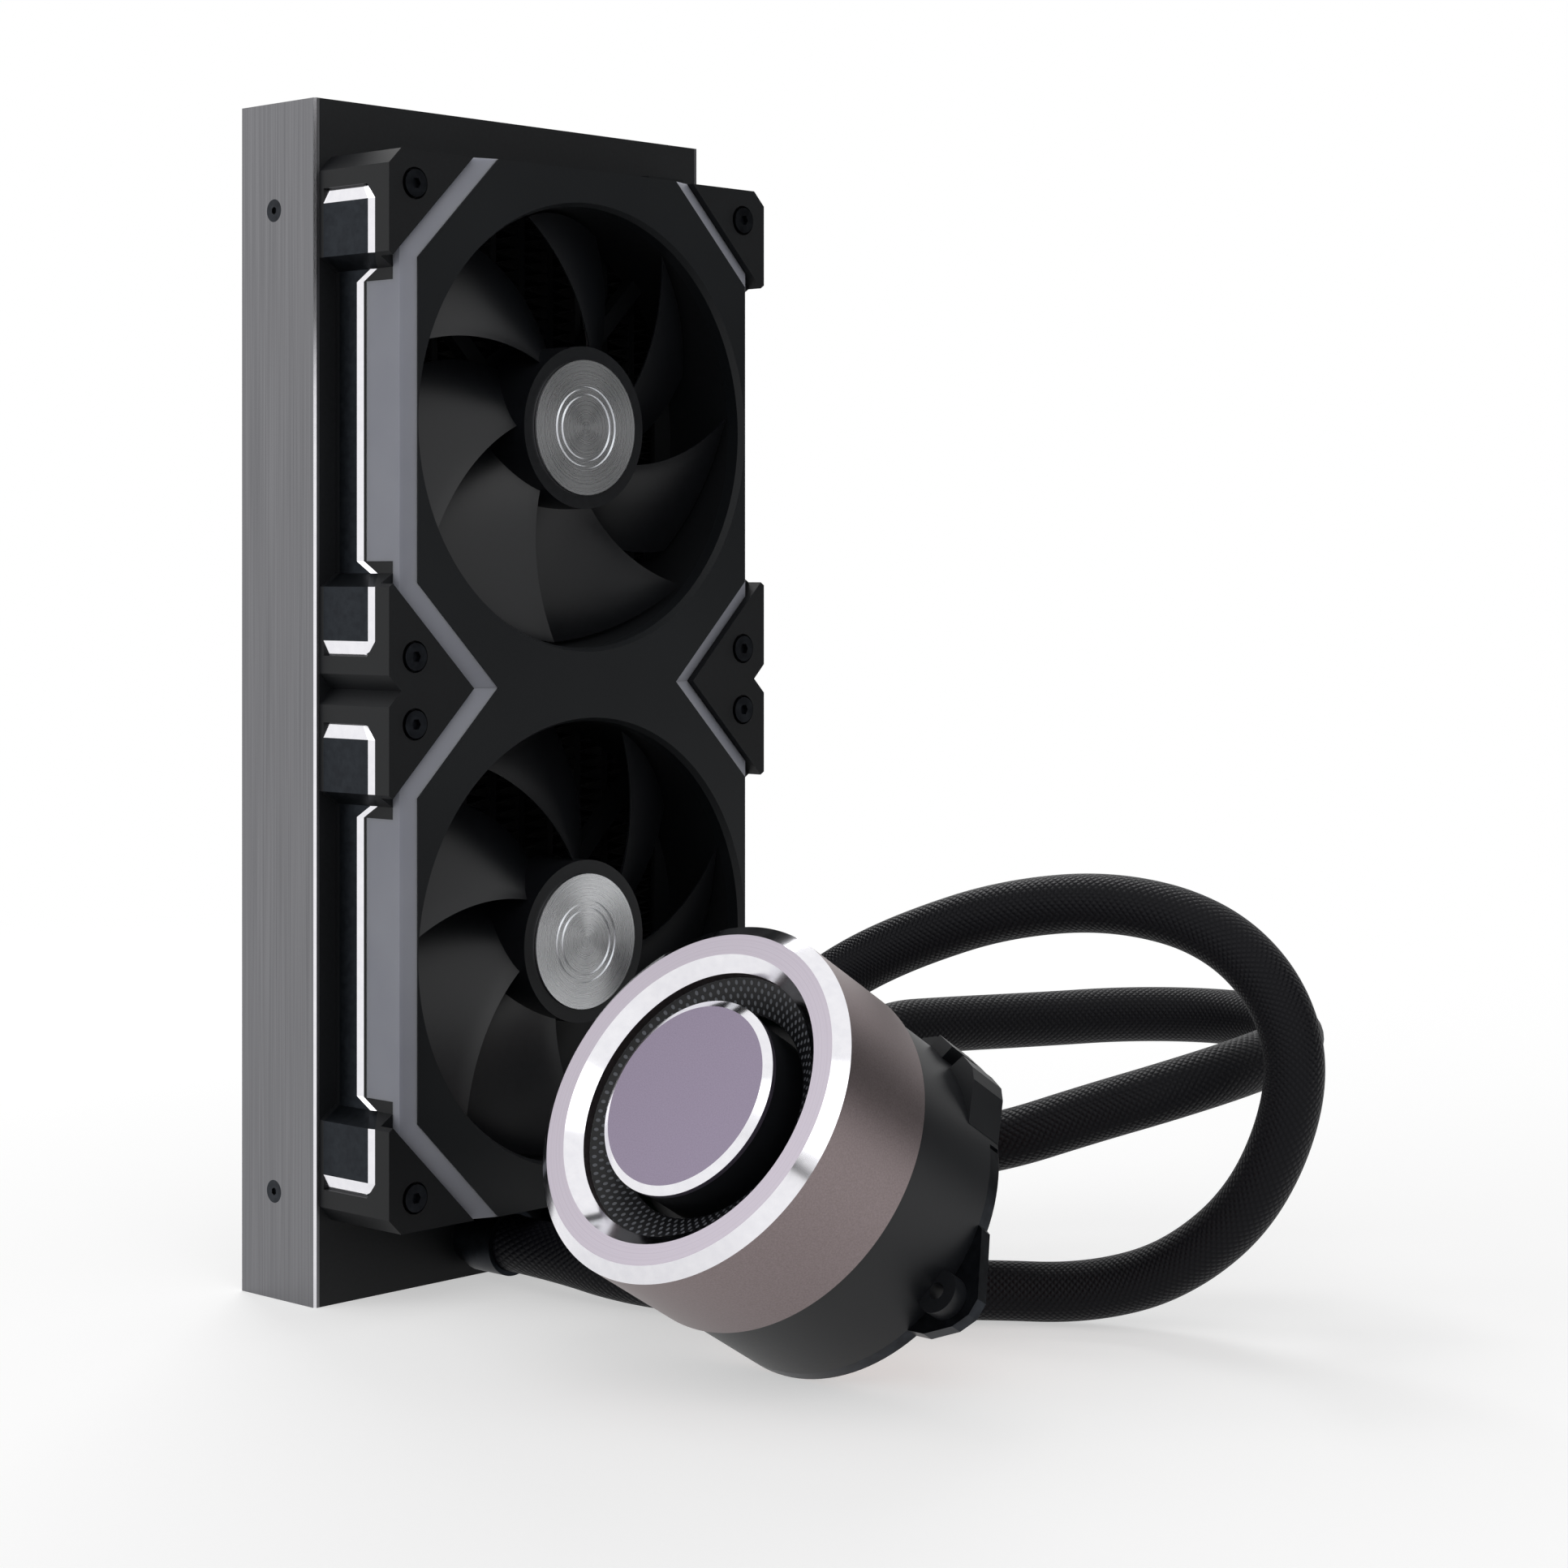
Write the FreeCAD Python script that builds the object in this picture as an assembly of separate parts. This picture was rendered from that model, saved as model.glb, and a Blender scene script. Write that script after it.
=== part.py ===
import FreeCAD, Part
import math
import os

# All in one liquid cooler for a computer processor: a radiator for two 120 mm fans
# standing on its short end, the two fans on its front face, and a round pump head
# that lies tilted on the floor in front of it, joined by two sleeved hoses.
# Frame: +Z up, -Y is the side the fans blow from, the radiator is centred on X and Y,
# and Z = 0 is the floor. Millimetres throughout.

V = FreeCAD.Vector

# Fans
FAN_SIDE = 120.0
FAN_DEPTH = 25.0
FAN_COUNT = 2
FAN_SCREW_INSET = 7.5
FRONT_PLATE_T = 5.0
CORNER_BLOCK_STEP = 0.8
CORNER_BLOCK_MARGIN = 1.9
CORNER_CHAMFER = 3.5
SIDE_RECESS = 4.6
SIDE_RECESS_SLOPE = 3.0
DUCT_MARGIN = 0.9
OPENING_BEVEL = 1.6
GUIDE_CORNER_CUT = 24.9
GUIDE_DIAGONAL = 6.6
GUIDE_SIDE_FACE = 3.0
GUIDE_STEP = 0.3
GUIDE_SIDE_DEPTH = 9.0
GUIDE_SIDE_T = 2.0
PANEL_T = 1.2
PANEL_BACK = 1.5
PANEL_SET_BACK = 0.6
PANEL_MID_DROP = 9.4
PANEL_TIP_DROP = 2.8
PANEL_END_GAP = 7.5
PANEL_TAPER = 3.4
PANEL_STEP = 2.7
PANEL_BEVEL = 2.4
STRUT_COUNT = 4
STRUT_WIDTH = 4.0
STRUT_DEPTH = 3.6
MOTOR_BASE_RIM = 1.5
MOTOR_BASE_T = 2.6
TAB_START = 47.0
TAB_WIDTH = 12.0
TAB_HEIGHT = 3.2
TAB_BACK = 4.5
TAB_T = 4.5
TAB_CLEARANCE = 0.3

# Fan rotor
BLADE_COUNT = 7
TIP_GAP = 0.9
HUB_RADIUS = 19.0
HUB_WALL = 1.6
HUB_BACK = 7.0
HUB_SET_BACK = 1.8
HUB_FACE_T = 2.4
HUB_RIM = 3.2
CAP_CLEARANCE = 0.1
CAP_T = 1.8
CAP_PROUD = 0.6
CAP_GROOVES = (9.6, 7.9)
GROOVE_WIDTH = 0.6
GROOVE_DEPTH = 0.35
BLADE_SET_BACK = 2.7
BLADE_BACK = 7.4
BLADE_T_ROOT = 1.8
BLADE_T_TIP = 1.2
BLADE_ANGLE_ROOT = 127.7
BLADE_SWEEP = 31.3
BLADE_WIDTH_ROOT = 46.0
BLADE_WIDTH_TIP = 39.0
LOWER_ROTOR_TURN = 17.0
YOKE_WALL = 1.4
YOKE_CLEARANCE = 0.1
YOKE_BACK = 8.1
SHAFT_RADIUS = 1.5
SHAFT_CLEARANCE = 0.03
BEARING_RADIUS = 3.6
BEARING_END_GAP = 2.6
BEARING_TUBE_WALL = 1.2
AIR_GAP = 0.6
STATOR_END_GAP = 3.4
STATOR_POLES = 4
BOARD_T = 1.4
BOARD_BACK = 4.4

# Screws that hold each fan to the radiator
FAN_SCREW_RADIUS = 1.7
FAN_SCREW_HEAD_RADIUS = 3.1
FAN_SCREW_HEAD_T = 2.2
FAN_SCREW_HOLE_CLEARANCE = 0.5
THREAD_CLEARANCE = 0.05
FAN_SCREW_REACH = 2.0
REAR_THREAD_RADIUS = 2.0
COUNTERBORE_CLEARANCE = 0.5
COUNTERBORE_DEPTH = 1.8
SOCKET_RADIUS = 1.3
SOCKET_DEPTH = 1.2

# Radiator
RADIATOR_T = 27.0
BOTTOM_TANK_H = 19.2
TOP_TANK_H = 13.0
TANK_WALL = 1.5
HEADER_T = 1.5
TUBE_COUNT = 12
TUBE_T = 1.8
CORE_SET_BACK = 3.5
TUBE_WALL = 0.3
TUBE_INSERT = 2.5
FIN_PITCH = 10.0
FIN_T = 0.6
FIN_FLAT = 1.2
CHANNEL_T = 1.2
CHANNEL_FLANGE = 14.0
SIDE_PLATE_T = 1.3
SIDE_PLATE_CHAMFER = 0.5
SIDE_SCREW_END = 24.4
SIDE_SCREW_Y = 1.2
SIDE_SCREW_HEAD_RADIUS = 2.6
SIDE_SCREW_RADIUS = 1.4
SIDE_SOCKET_RADIUS = 0.9
PLUG_RADIUS = 5.0
PLUG_T = 3.4
PLUG_BOSS_WALL = 2.0

# Hoses and their fittings
HOSE_DIAMETER = 13.0
HOSE_BORE = 6.6
BARB_CLEARANCE = 0.2
BARB_BORE_RADIUS = 2.1
BARB_LENGTH = 10.0
COLLAR_WALL = 1.1
COLLAR_CLEARANCE = 0.1
COLLAR_LENGTH = 10.0
PORT_X = 14.0
PORT_NECK = 4.0
PORT_NECK_RADIUS = 6.4
STRAIGHT_END = 20.0
PORT_STRAIGHT_END = 24.0

# Pump head. Depths are measured back from its front face along its own axis.
PUMP_TILT = 31.0
PUMP_FACE_X = -63.8
PUMP_Y = -133.4
CAP_OUTER_RADIUS = 38.5
CAP_LENGTH = 28.5
CAP_OUTER_CHAMFER = 2.9
CAP_OUTER_CHAMFER_DEPTH = 2.4
CAP_FACE_WIDTH = 4.4
CAP_INNER_CHAMFER = 2.8
CAP_MOUTH_DEPTH = 3.0
CAP_LIP_DEPTH = 5.0
CAP_SIDE_WALL = 2.4
CAP_REAR_CHAMFER = 0.8
MESH_SHARE = 0.2183
MESH_DEPTH = 9.0
MESH_T = 0.9
MESH_ROWS = 3
MESH_HOLES = 30
MESH_HOLE_RADIUS = 0.75
WELL_COLUMN_STEP = 0.6
WELL_COLUMN_WALL = 1.6
WELL_TOP = 1.6
WELL_FLOOR_RISE = 4.0
WELL_STEP = 3.0
WELL_FLOOR_T = 2.0
DISC_GAP = 1.2
DISC_T = 2.2
DISC_PROUD = 0.6
DISC_BEVEL_R = 1.7
DISC_BEVEL_D = 1.1
LIGHT_BOARD_T = 1.4
LIGHT_BOARD_RIM = 3.0
LIGHT_BOARD_GAP = 1.5
LIGHT_COUNT = 18
LIGHT_SIZE = 2.4
LIGHT_T = 0.9
BASE_STEP = 1.3
BASE_LENGTH = 28.5
BASE_SPIGOT_DEPTH = 6.5
BASE_SPIGOT_CLEARANCE = 0.1
DRY_WALL = 6.0
DRY_FLOOR_RISE = 19.0
BASE_WALL_T = 2.0
CAN_RADIUS = 9.0
CAN_WALL = 1.0
CAN_HEIGHT = 14.0
CAN_SKIN = 0.2
WET_WALL = 16.2
WET_DEPTH = 8.0
PUMP_STATOR_RADIUS = 19.0
PUMP_STATOR_LENGTH = 9.0
PUMP_STATOR_CLEARANCE = 0.15
PUMP_STATOR_POLES = 6
PUMP_SHAFT_RADIUS = 1.25
IMPELLER_GAP = 4.0
IMPELLER_T = 1.6
IMPELLER_VANE_H = 3.0
IMPELLER_VANES = 6
VANE_START = 2.5
VANE_END_GAP = 0.5
VANE_T = 1.2
ROTOR_CLEARANCE = 0.5
PARTITION_T = 2.0
PARTITION_LEDGE = 3.0
PARTITION_EYE = 4.0
PLATE_INSET = 4.7
PLATE_T = 3.0
PLATE_FIN_H = 3.0
PLATE_FIN_COUNT = 12
PLATE_FIN_T = 1.0
GASKET_GAP = 1.4
GASKET_WIDTH = 1.8
GASKET_DEPTH = 1.6
PLATE_SCREWS = 8
PLATE_SCREW_INSET = 2.5
PLATE_SCREW_RADIUS = 1.0
PLATE_SCREW_HEAD = 1.9
PLATE_SCREW_HEAD_T = 1.2
PLATE_SCREW_LENGTH = 7.0
RING_SET_BACK = 0.2
RING_T = 3.0
RING_SEAT_DEPTH = 1.7
RING_CLEARANCE = 0.1
EAR_OUT = 8.8
EAR_OUTLINE = [(178, -0.16), (180.5, 0.125), (198.5, 0.955), (203, 1), (208, 0.84), (215.5, 0.385),
               (221, -0.16)]
EAR_ANGLE = 203.5
EAR_HOLE_OUT = 1.8
EAR_HOLE_RADIUS = 1.75
EAR_BOSS_RADIUS = 4.6
EAR_BOSS_LENGTH = 3.9
FLANGE_T = 3.0
FLANGE_OUT = 4.4
FLANGE_OUTLINE = [(98, -0.3), (98, 0.36), (103, 0.68), (112, 0.7), (121, 0.73), (132.5, 1), (136.5, 0.82),
                  (150, 0.02), (150, -0.3)]
CLIP_LENGTH = 11.0
CLIP_OUTLINES = [[(114.5, -0.3), (114.5, 0.7), (121.5, 0.73), (121.5, -0.3)],
                 [(127, -0.3), (127, 0.87), (132.5, 1), (136.5, 0.82), (150, 0.02), (150, -0.3)]]
RING_OPENING = (96, 152)
RING_END_GAP = 1.5
ELBOW_RISE = 12.0
ELBOW_OUT = 14.8
ELBOW_RADIUS = 7.4
ELBOW_LEG = 11.0
ELBOW_SEAT_RADIUS = 5.0
ELBOW_SEAT_DEPTH = 3.0
UPPER_ELBOW_ANGLE = 20.0
LOWER_ELBOW_ANGLE = -15.0

# Hose routes: points chosen by hand, between the two fittings, and where each elbow aims
UPPER_HOSE_AIM = (8.0, -92.0, 66.0)
LOWER_HOSE_AIM = (0.0, -78.0, 27.0)
HOSE_1_POINTS = [
    (-13, -66, 7.2), (-4, -92, 7), (13, -113, 7), (31, -131, 7),
    (44, -151, 7), (52, -170, 14), (56, -188, 31), (57, -198, 57), (56, -193, 76),
    (53, -178, 89), (47.5, -155, 93.5), (40, -131, 90.5), (31.5, -111, 83), (22.5, -98.5, 75.5),
]
HOSE_2_POINTS = [
    (22, -86, 29), (35, -106, 33), (40, -129, 38), (50, -146, 45), (59, -162, 51),
    (76, -172, 56), (100, -169, 58), (117, -153, 59), (118, -132, 59), (106, -115, 59),
    (89, -101, 58), (69, -91, 58), (51, -84, 58), (38, -78, 48), (27, -68, 32), (18, -58, 17),
]

# Values worked out from the sizes above
RADIATOR_H = BOTTOM_TANK_H + FAN_COUNT * FAN_SIDE + TOP_TANK_H
CORE_WIDTH = FAN_SIDE
TUBE_DEPTH = RADIATOR_T - 2 * CORE_SET_BACK
FIN_DEPTH = TUBE_DEPTH
FRONT_Y = -RADIATOR_T / 2
HALF_FAN = FAN_SIDE / 2
HALF_CORE = CORE_WIDTH / 2
HALF_SCREWS = HALF_FAN - FAN_SCREW_INSET
MID_HALF = HALF_FAN - SIDE_RECESS
FRAME_DEPTH = FAN_DEPTH - FRONT_PLATE_T
CORNER_BLOCK_FRONT = FAN_DEPTH - CORNER_BLOCK_STEP
GUIDE_FRONT = FAN_DEPTH - GUIDE_STEP
GUIDE_SIDE_BACK = FRAME_DEPTH - GUIDE_SIDE_DEPTH
GUIDE_CORNER_SUM = 2 * HALF_FAN - GUIDE_CORNER_CUT
PLATE_CORNER_SUM = GUIDE_CORNER_SUM - GUIDE_DIAGONAL
PLATE_HALF_WIDTH = MID_HALF - GUIDE_SIDE_FACE
DUCT_RADIUS = PLATE_HALF_WIDTH - DUCT_MARGIN
BLOCK_HALF_START = GUIDE_CORNER_SUM - HALF_FAN + CORNER_BLOCK_MARGIN
RECESS_HALF_LENGTH = BLOCK_HALF_START - SIDE_RECESS_SLOPE
PANEL_MID_HALF = RECESS_HALF_LENGTH - PANEL_STEP
PANEL_HALF_LENGTH = HALF_FAN - PANEL_END_GAP
PANEL_TAPER_START = PANEL_HALF_LENGTH - PANEL_TAPER
PANEL_END_FRONT = FRAME_DEPTH - PANEL_SET_BACK
PANEL_MID_FRONT = PANEL_END_FRONT - PANEL_MID_DROP
PANEL_TIP_FRONT = PANEL_END_FRONT - PANEL_TIP_DROP
MOTOR_BASE_RADIUS = HUB_RADIUS + MOTOR_BASE_RIM
HUB_FRONT = FAN_DEPTH - HUB_SET_BACK
HUB_INNER_FACE = HUB_FRONT - HUB_FACE_T - CAP_T + CAP_PROUD
CAP_RADIUS = HUB_RADIUS - HUB_RIM
BLADE_FRONT = HUB_FRONT - BLADE_SET_BACK
BLADE_TIP = DUCT_RADIUS - TIP_GAP
YOKE_LENGTH = HUB_INNER_FACE - YOKE_BACK
YOKE_BOSS_BACK = HUB_INNER_FACE - YOKE_WALL - 1.0
BEARING_LENGTH = YOKE_BOSS_BACK - BEARING_END_GAP - MOTOR_BASE_T
STATOR_BACK = BOARD_BACK + BOARD_T
STATOR_LENGTH = HUB_INNER_FACE - YOKE_WALL - STATOR_END_GAP - STATOR_BACK
SHAFT_BORE = SHAFT_RADIUS + SHAFT_CLEARANCE
TUBE_RADIUS = BEARING_RADIUS + BEARING_TUBE_WALL
PORT_Z = BOTTOM_TANK_H / 2
HOSE_RADIUS = HOSE_DIAMETER / 2
BARB_RADIUS = HOSE_BORE / 2 - BARB_CLEARANCE
COLLAR_INNER = HOSE_RADIUS + COLLAR_CLEARANCE
SIN_TILT = math.sin(math.radians(PUMP_TILT))
COS_TILT = math.cos(math.radians(PUMP_TILT))
BASE_END = CAP_LENGTH + BASE_LENGTH
BASE_RADIUS = CAP_OUTER_RADIUS - BASE_STEP
PUMP_FACE_Z = BASE_END * SIN_TILT + BASE_RADIUS * COS_TILT
PUMP_FACE = V(PUMP_FACE_X, PUMP_Y, PUMP_FACE_Z)
PUMP_AXIS = V(-COS_TILT, 0, SIN_TILT)
PUMP_UP = V(SIN_TILT, 0, COS_TILT)
PUMP_SIDE = V(0, 1, 0)
CAP_FACE_OUTER = CAP_OUTER_RADIUS - CAP_OUTER_CHAMFER
CAP_FACE_INNER = CAP_FACE_OUTER - CAP_FACE_WIDTH
CAP_MOUTH_RADIUS = CAP_FACE_INNER - CAP_INNER_CHAMFER
CAP_BORE = CAP_OUTER_RADIUS - CAP_SIDE_WALL
MESH_INNER_RADIUS = CAP_MOUTH_RADIUS * (1 - MESH_SHARE)
DISC_RADIUS = MESH_INNER_RADIUS - DISC_GAP
WELL_COLUMN_RADIUS = DISC_RADIUS - WELL_COLUMN_STEP
SPIGOT_RADIUS = CAP_BORE - BASE_SPIGOT_CLEARANCE
SPIGOT_TOP = CAP_LENGTH - BASE_SPIGOT_DEPTH
WELL_FLOOR = SPIGOT_TOP - WELL_FLOOR_RISE
LIGHT_BOARD_OUTER = SPIGOT_RADIUS - LIGHT_BOARD_RIM
LIGHT_BOARD_INNER = DISC_RADIUS + LIGHT_BOARD_GAP
DRY_RADIUS = SPIGOT_RADIUS - DRY_WALL
DRY_FLOOR = BASE_END - DRY_FLOOR_RISE
CAN_TOP = DRY_FLOOR - CAN_HEIGHT
WET_RADIUS = BASE_RADIUS - WET_WALL
WET_FLOOR = DRY_FLOOR + BASE_WALL_T + WET_DEPTH
IMPELLER_RADIUS = WET_RADIUS - IMPELLER_GAP
PARTITION_RADIUS = WET_RADIUS + PARTITION_LEDGE
PLATE_FIN_SIZE = PARTITION_RADIUS
PLATE_RADIUS = BASE_RADIUS - PLATE_INSET
PLATE_SCREW_CIRCLE = PLATE_RADIUS - PLATE_SCREW_INSET
GASKET_INNER = PARTITION_RADIUS + GASKET_GAP
RING_BACK = BASE_END - RING_SET_BACK
EAR_HOLE_REACH = BASE_RADIUS + EAR_HOLE_OUT
ELBOW_DEPTH = BASE_END - ELBOW_RISE
ELBOW_REACH = BASE_RADIUS + ELBOW_OUT


def box(x0, x1, y0, y1, z0, z1):
    """A box between two corners."""
    return Part.makeBox(x1 - x0, y1 - y0, z1 - z0, V(x0, y0, z0))


def rod(radius, start, end):
    """A solid cylinder between two points."""
    run = end - start
    return Part.makeCylinder(radius, run.Length, start, run)


def sleeve(outer, inner, start, end):
    """A hollow cylinder between two points."""
    return rod(outer, start, end).cut(rod(inner, start, end))


def prism(points, height):
    """A straight prism from a closed outline, extruded by a vector."""
    wire = Part.makePolygon(points + [points[0]])
    return Part.Face(wire).extrude(height)


def turned(profile):
    """A ring turned about Z from a closed outline of (radius, depth) pairs."""
    points = [V(radius, 0, -depth) for radius, depth in profile]
    face = Part.Face(Part.makePolygon(points + [points[0]]))
    return face.revolve(V(0, 0, 0), V(0, 0, 1), 360)


def fused(shapes):
    """One solid from several that touch."""
    shape = shapes[0]
    if len(shapes) > 1:
        shape = shape.fuse(shapes[1:])
    return shape.removeSplitter()


def save(name, shape):
    """Write one node."""
    shape.exportStep("parts/" + name + ".step")
    print(name, "solids", len(shape.Solids), "volume", round(shape.Volume, 1), shape.isValid())


# Radiator

def tube_places():
    """The X of each flat tube and the width of the gap between two tubes."""
    inner = CORE_WIDTH - 2 * CHANNEL_T
    gap = (inner - TUBE_COUNT * TUBE_T) / (TUBE_COUNT + 1)
    first = -inner / 2 + gap + TUBE_T / 2
    return [first + i * (gap + TUBE_T) for i in range(TUBE_COUNT)], gap


def tank(bottom, top, header_at_top):
    """A brazed end tank, with slots for the tubes in the plate that faces the core."""
    shell = box(-HALF_CORE, HALF_CORE, FRONT_Y, -FRONT_Y, bottom, top)
    low = bottom + (TANK_WALL if header_at_top else HEADER_T)
    high = top - (HEADER_T if header_at_top else TANK_WALL)
    inside = HALF_CORE - TANK_WALL
    shell = shell.cut(box(-inside, inside, FRONT_Y + TANK_WALL, -FRONT_Y - TANK_WALL, low, high))
    slot_low, slot_high = (high, top) if header_at_top else (bottom, low)
    slots = [box(x - TUBE_T / 2, x + TUBE_T / 2, -TUBE_DEPTH / 2, TUBE_DEPTH / 2, slot_low, slot_high)
             for x in tube_places()[0]]
    return shell.cut(slots)


def port_positions():
    """The centres of the two hose ports on the front of the bottom tank."""
    return [V(side * PORT_X, FRONT_Y, PORT_Z) for side in (-1, 1)]


def bottom_tank():
    """The lower tank: a wall across its middle makes the coolant go up one half and down the other."""
    shell = tank(0, BOTTOM_TANK_H, True)
    wall = box(-TANK_WALL / 2, TANK_WALL / 2, FRONT_Y + TANK_WALL, -FRONT_Y - TANK_WALL,
               TANK_WALL, BOTTOM_TANK_H - HEADER_T)
    shell = fused([shell, wall])
    return shell.cut([rod(BARB_BORE_RADIUS, p, p + V(0, TANK_WALL, 0)) for p in port_positions()])


def top_tank():
    """The upper tank, with a threaded boss inside its top wall for the fill plug."""
    shell = tank(RADIATOR_H - TOP_TANK_H, RADIATOR_H, False)
    top = V(0, 0, RADIATOR_H)
    boss = rod(PLUG_RADIUS + PLUG_BOSS_WALL, top - V(0, 0, PLUG_T), top - V(0, 0, TANK_WALL))
    shell = fused([shell, boss])
    return shell.cut(rod(PLUG_RADIUS, top - V(0, 0, PLUG_T), top))


def fill_plug():
    """The plug in the top tank, flush with it, with a hexagon socket."""
    top = V(0, 0, RADIATOR_H)
    plug = rod(PLUG_RADIUS, top - V(0, 0, PLUG_T), top)
    return plug.cut(hexagon(PLUG_RADIUS / 2, top - V(0, 0, PLUG_T / 2), V(0, 0, 1), PLUG_T))


def hexagon(radius, centre, direction, height):
    """A hexagonal prism along a direction."""
    points = [V(radius * math.cos(math.radians(60 * i)), radius * math.sin(math.radians(60 * i)), 0)
              for i in range(6)]
    shape = prism(points, V(0, 0, height))
    turn = FreeCAD.Rotation(V(0, 0, 1), direction)
    shape.Placement = FreeCAD.Placement(centre, turn)
    return shape


def coolant_tubes():
    """The flat tubes that carry the coolant between the tanks."""
    low = BOTTOM_TANK_H - HEADER_T - TUBE_INSERT
    high = RADIATOR_H - TOP_TANK_H + HEADER_T + TUBE_INSERT
    tubes = []
    for x in tube_places()[0]:
        outer = box(x - TUBE_T / 2, x + TUBE_T / 2, -TUBE_DEPTH / 2, TUBE_DEPTH / 2, low, high)
        half_t = TUBE_T / 2 - TUBE_WALL
        half_d = TUBE_DEPTH / 2 - TUBE_WALL
        tubes.append(outer.cut(box(x - half_t, x + half_t, -half_d, half_d, low, high)))
    return Part.makeCompound(tubes)


def fin_strip(left, right):
    """One folded strip of fins between two walls, as a zigzag extruded through the core."""
    low = BOTTOM_TANK_H + FIN_FLAT
    high = RADIATOR_H - TOP_TANK_H - FIN_FLAT
    folds = round((high - low) / (FIN_PITCH / 2))
    step = (high - low) / folds
    line = []
    for i in range(folds + 1):
        x = left + FIN_T if i % 2 else right
        fold = low + i * step
        line += [V(x, -FIN_DEPTH / 2, fold - FIN_FLAT / 2), V(x, -FIN_DEPTH / 2, fold + FIN_FLAT / 2)]
    back = [p - V(FIN_T, 0, 0) for p in reversed(line)]
    return prism(line + back, V(0, FIN_DEPTH, 0))


def cooling_fins():
    """The folded fins between the tubes, and between the outer tubes and the side channels."""
    places, gap = tube_places()
    lefts = [places[0] - TUBE_T / 2 - gap] + [x + TUBE_T / 2 for x in places]
    return Part.makeCompound([fin_strip(left, left + gap) for left in lefts])


def fan_screw_places():
    """X and Z of the fan screws, four for each fan."""
    return [(side * HALF_SCREWS, hub + end * HALF_SCREWS)
            for hub in fan_hubs() for side in (-1, 1) for end in (-1, 1)]


def fan_hubs():
    """The height of each fan's axis, from the bottom up."""
    return [BOTTOM_TANK_H + (i + 0.5) * FAN_SIDE for i in range(FAN_COUNT)]


def side_screw_heights():
    """The heights of the two screws in each side plate."""
    return [SIDE_SCREW_END, RADIATOR_H - SIDE_SCREW_END]


def channel(side):
    """The folded steel channel along one side of the core, which the screws thread into."""
    low = BOTTOM_TANK_H
    high = RADIATOR_H - TOP_TANK_H
    outer = HALF_CORE
    web = outer - CHANNEL_T
    rim = outer - CHANNEL_FLANGE
    back = -FRONT_Y
    points = [V(outer, -back, low), V(outer, back, low), V(rim, back, low), V(rim, back - CHANNEL_T, low),
              V(web, back - CHANNEL_T, low), V(web, CHANNEL_T - back, low), V(rim, CHANNEL_T - back, low),
              V(rim, -back, low)]
    shape = prism(points, V(0, 0, high - low))
    places = [(x, z) for x, z in fan_screw_places() if x > 0]
    holes = [rod(FAN_SCREW_RADIUS + THREAD_CLEARANCE, V(x, -back, z), V(x, 0, z)) for x, z in places]
    holes += [rod(REAR_THREAD_RADIUS, V(x, 0, z), V(x, back, z)) for x, z in places]
    holes += [rod(SIDE_SCREW_RADIUS + THREAD_CLEARANCE, V(web, SIDE_SCREW_Y, z), V(outer, SIDE_SCREW_Y, z))
              for z in side_screw_heights()]
    return on_side(shape.cut(holes), side)


def on_side(shape, side):
    """The shape as built for +X, or mirrored to -X."""
    if side > 0:
        return shape
    return shape.mirror(V(0, 0, 0), V(1, 0, 0))


def side_plate(side):
    """The brushed plate that covers one side of the radiator from end to end."""
    plate = box(HALF_CORE, HALF_CORE + SIDE_PLATE_T, FRONT_Y, -FRONT_Y, 0, RADIATOR_H)
    outer = HALF_CORE + SIDE_PLATE_T
    rims = [e for e in plate.Edges
            if abs(e.CenterOfMass.x - outer) < 0.01 and abs(e.CenterOfMass.z - RADIATOR_H / 2) < 0.01]
    plate = plate.makeChamfer(SIDE_PLATE_CHAMFER, rims)
    return on_side(plate.cut([side_screw_head(z) for z in side_screw_heights()]), side)


def side_screw_head(height):
    """The countersunk head of a screw in the right side plate."""
    seat = V(HALF_CORE, SIDE_SCREW_Y, height)
    return Part.makeCone(SIDE_SCREW_RADIUS, SIDE_SCREW_HEAD_RADIUS, SIDE_PLATE_T, seat, V(1, 0, 0))


def side_plate_screws():
    """Four countersunk screws that hold the side plates to the channels."""
    screws = []
    for z in side_screw_heights():
        seat = V(HALF_CORE, SIDE_SCREW_Y, z)
        shank = rod(SIDE_SCREW_RADIUS, seat - V(CHANNEL_T, 0, 0), seat)
        socket = hexagon(SIDE_SOCKET_RADIUS, seat + V(SIDE_PLATE_T / 2, 0, 0), V(1, 0, 0), SIDE_PLATE_T)
        screw = fused([side_screw_head(z), shank]).cut(socket)
        screws += [on_side(screw, side) for side in (-1, 1)]
    return Part.makeCompound(screws)


# Hose fittings

def barb(shoulder, direction):
    """The spigot that a hose is pushed over."""
    return rod(BARB_RADIUS, shoulder, shoulder + direction * BARB_LENGTH)


def radiator_barbs():
    """The two hose fittings brazed to the bottom tank."""
    fittings = []
    for port in port_positions():
        shoulder = port - V(0, PORT_NECK, 0)
        body = fused([rod(PORT_NECK_RADIUS, port, shoulder), barb(shoulder, V(0, -1, 0))])
        bore = rod(BARB_BORE_RADIUS, port, shoulder - V(0, BARB_LENGTH, 0))
        fittings.append(body.cut(bore))
    return Part.makeCompound(fittings)


def pump_point(depth, radius, angle):
    """A point in the pump head: depth behind its face, radius, and angle from +Y towards its top."""
    turn = math.radians(angle)
    centre = PUMP_FACE - PUMP_AXIS * depth
    return centre + PUMP_SIDE * (radius * math.cos(turn)) + PUMP_UP * (radius * math.sin(turn))


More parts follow.
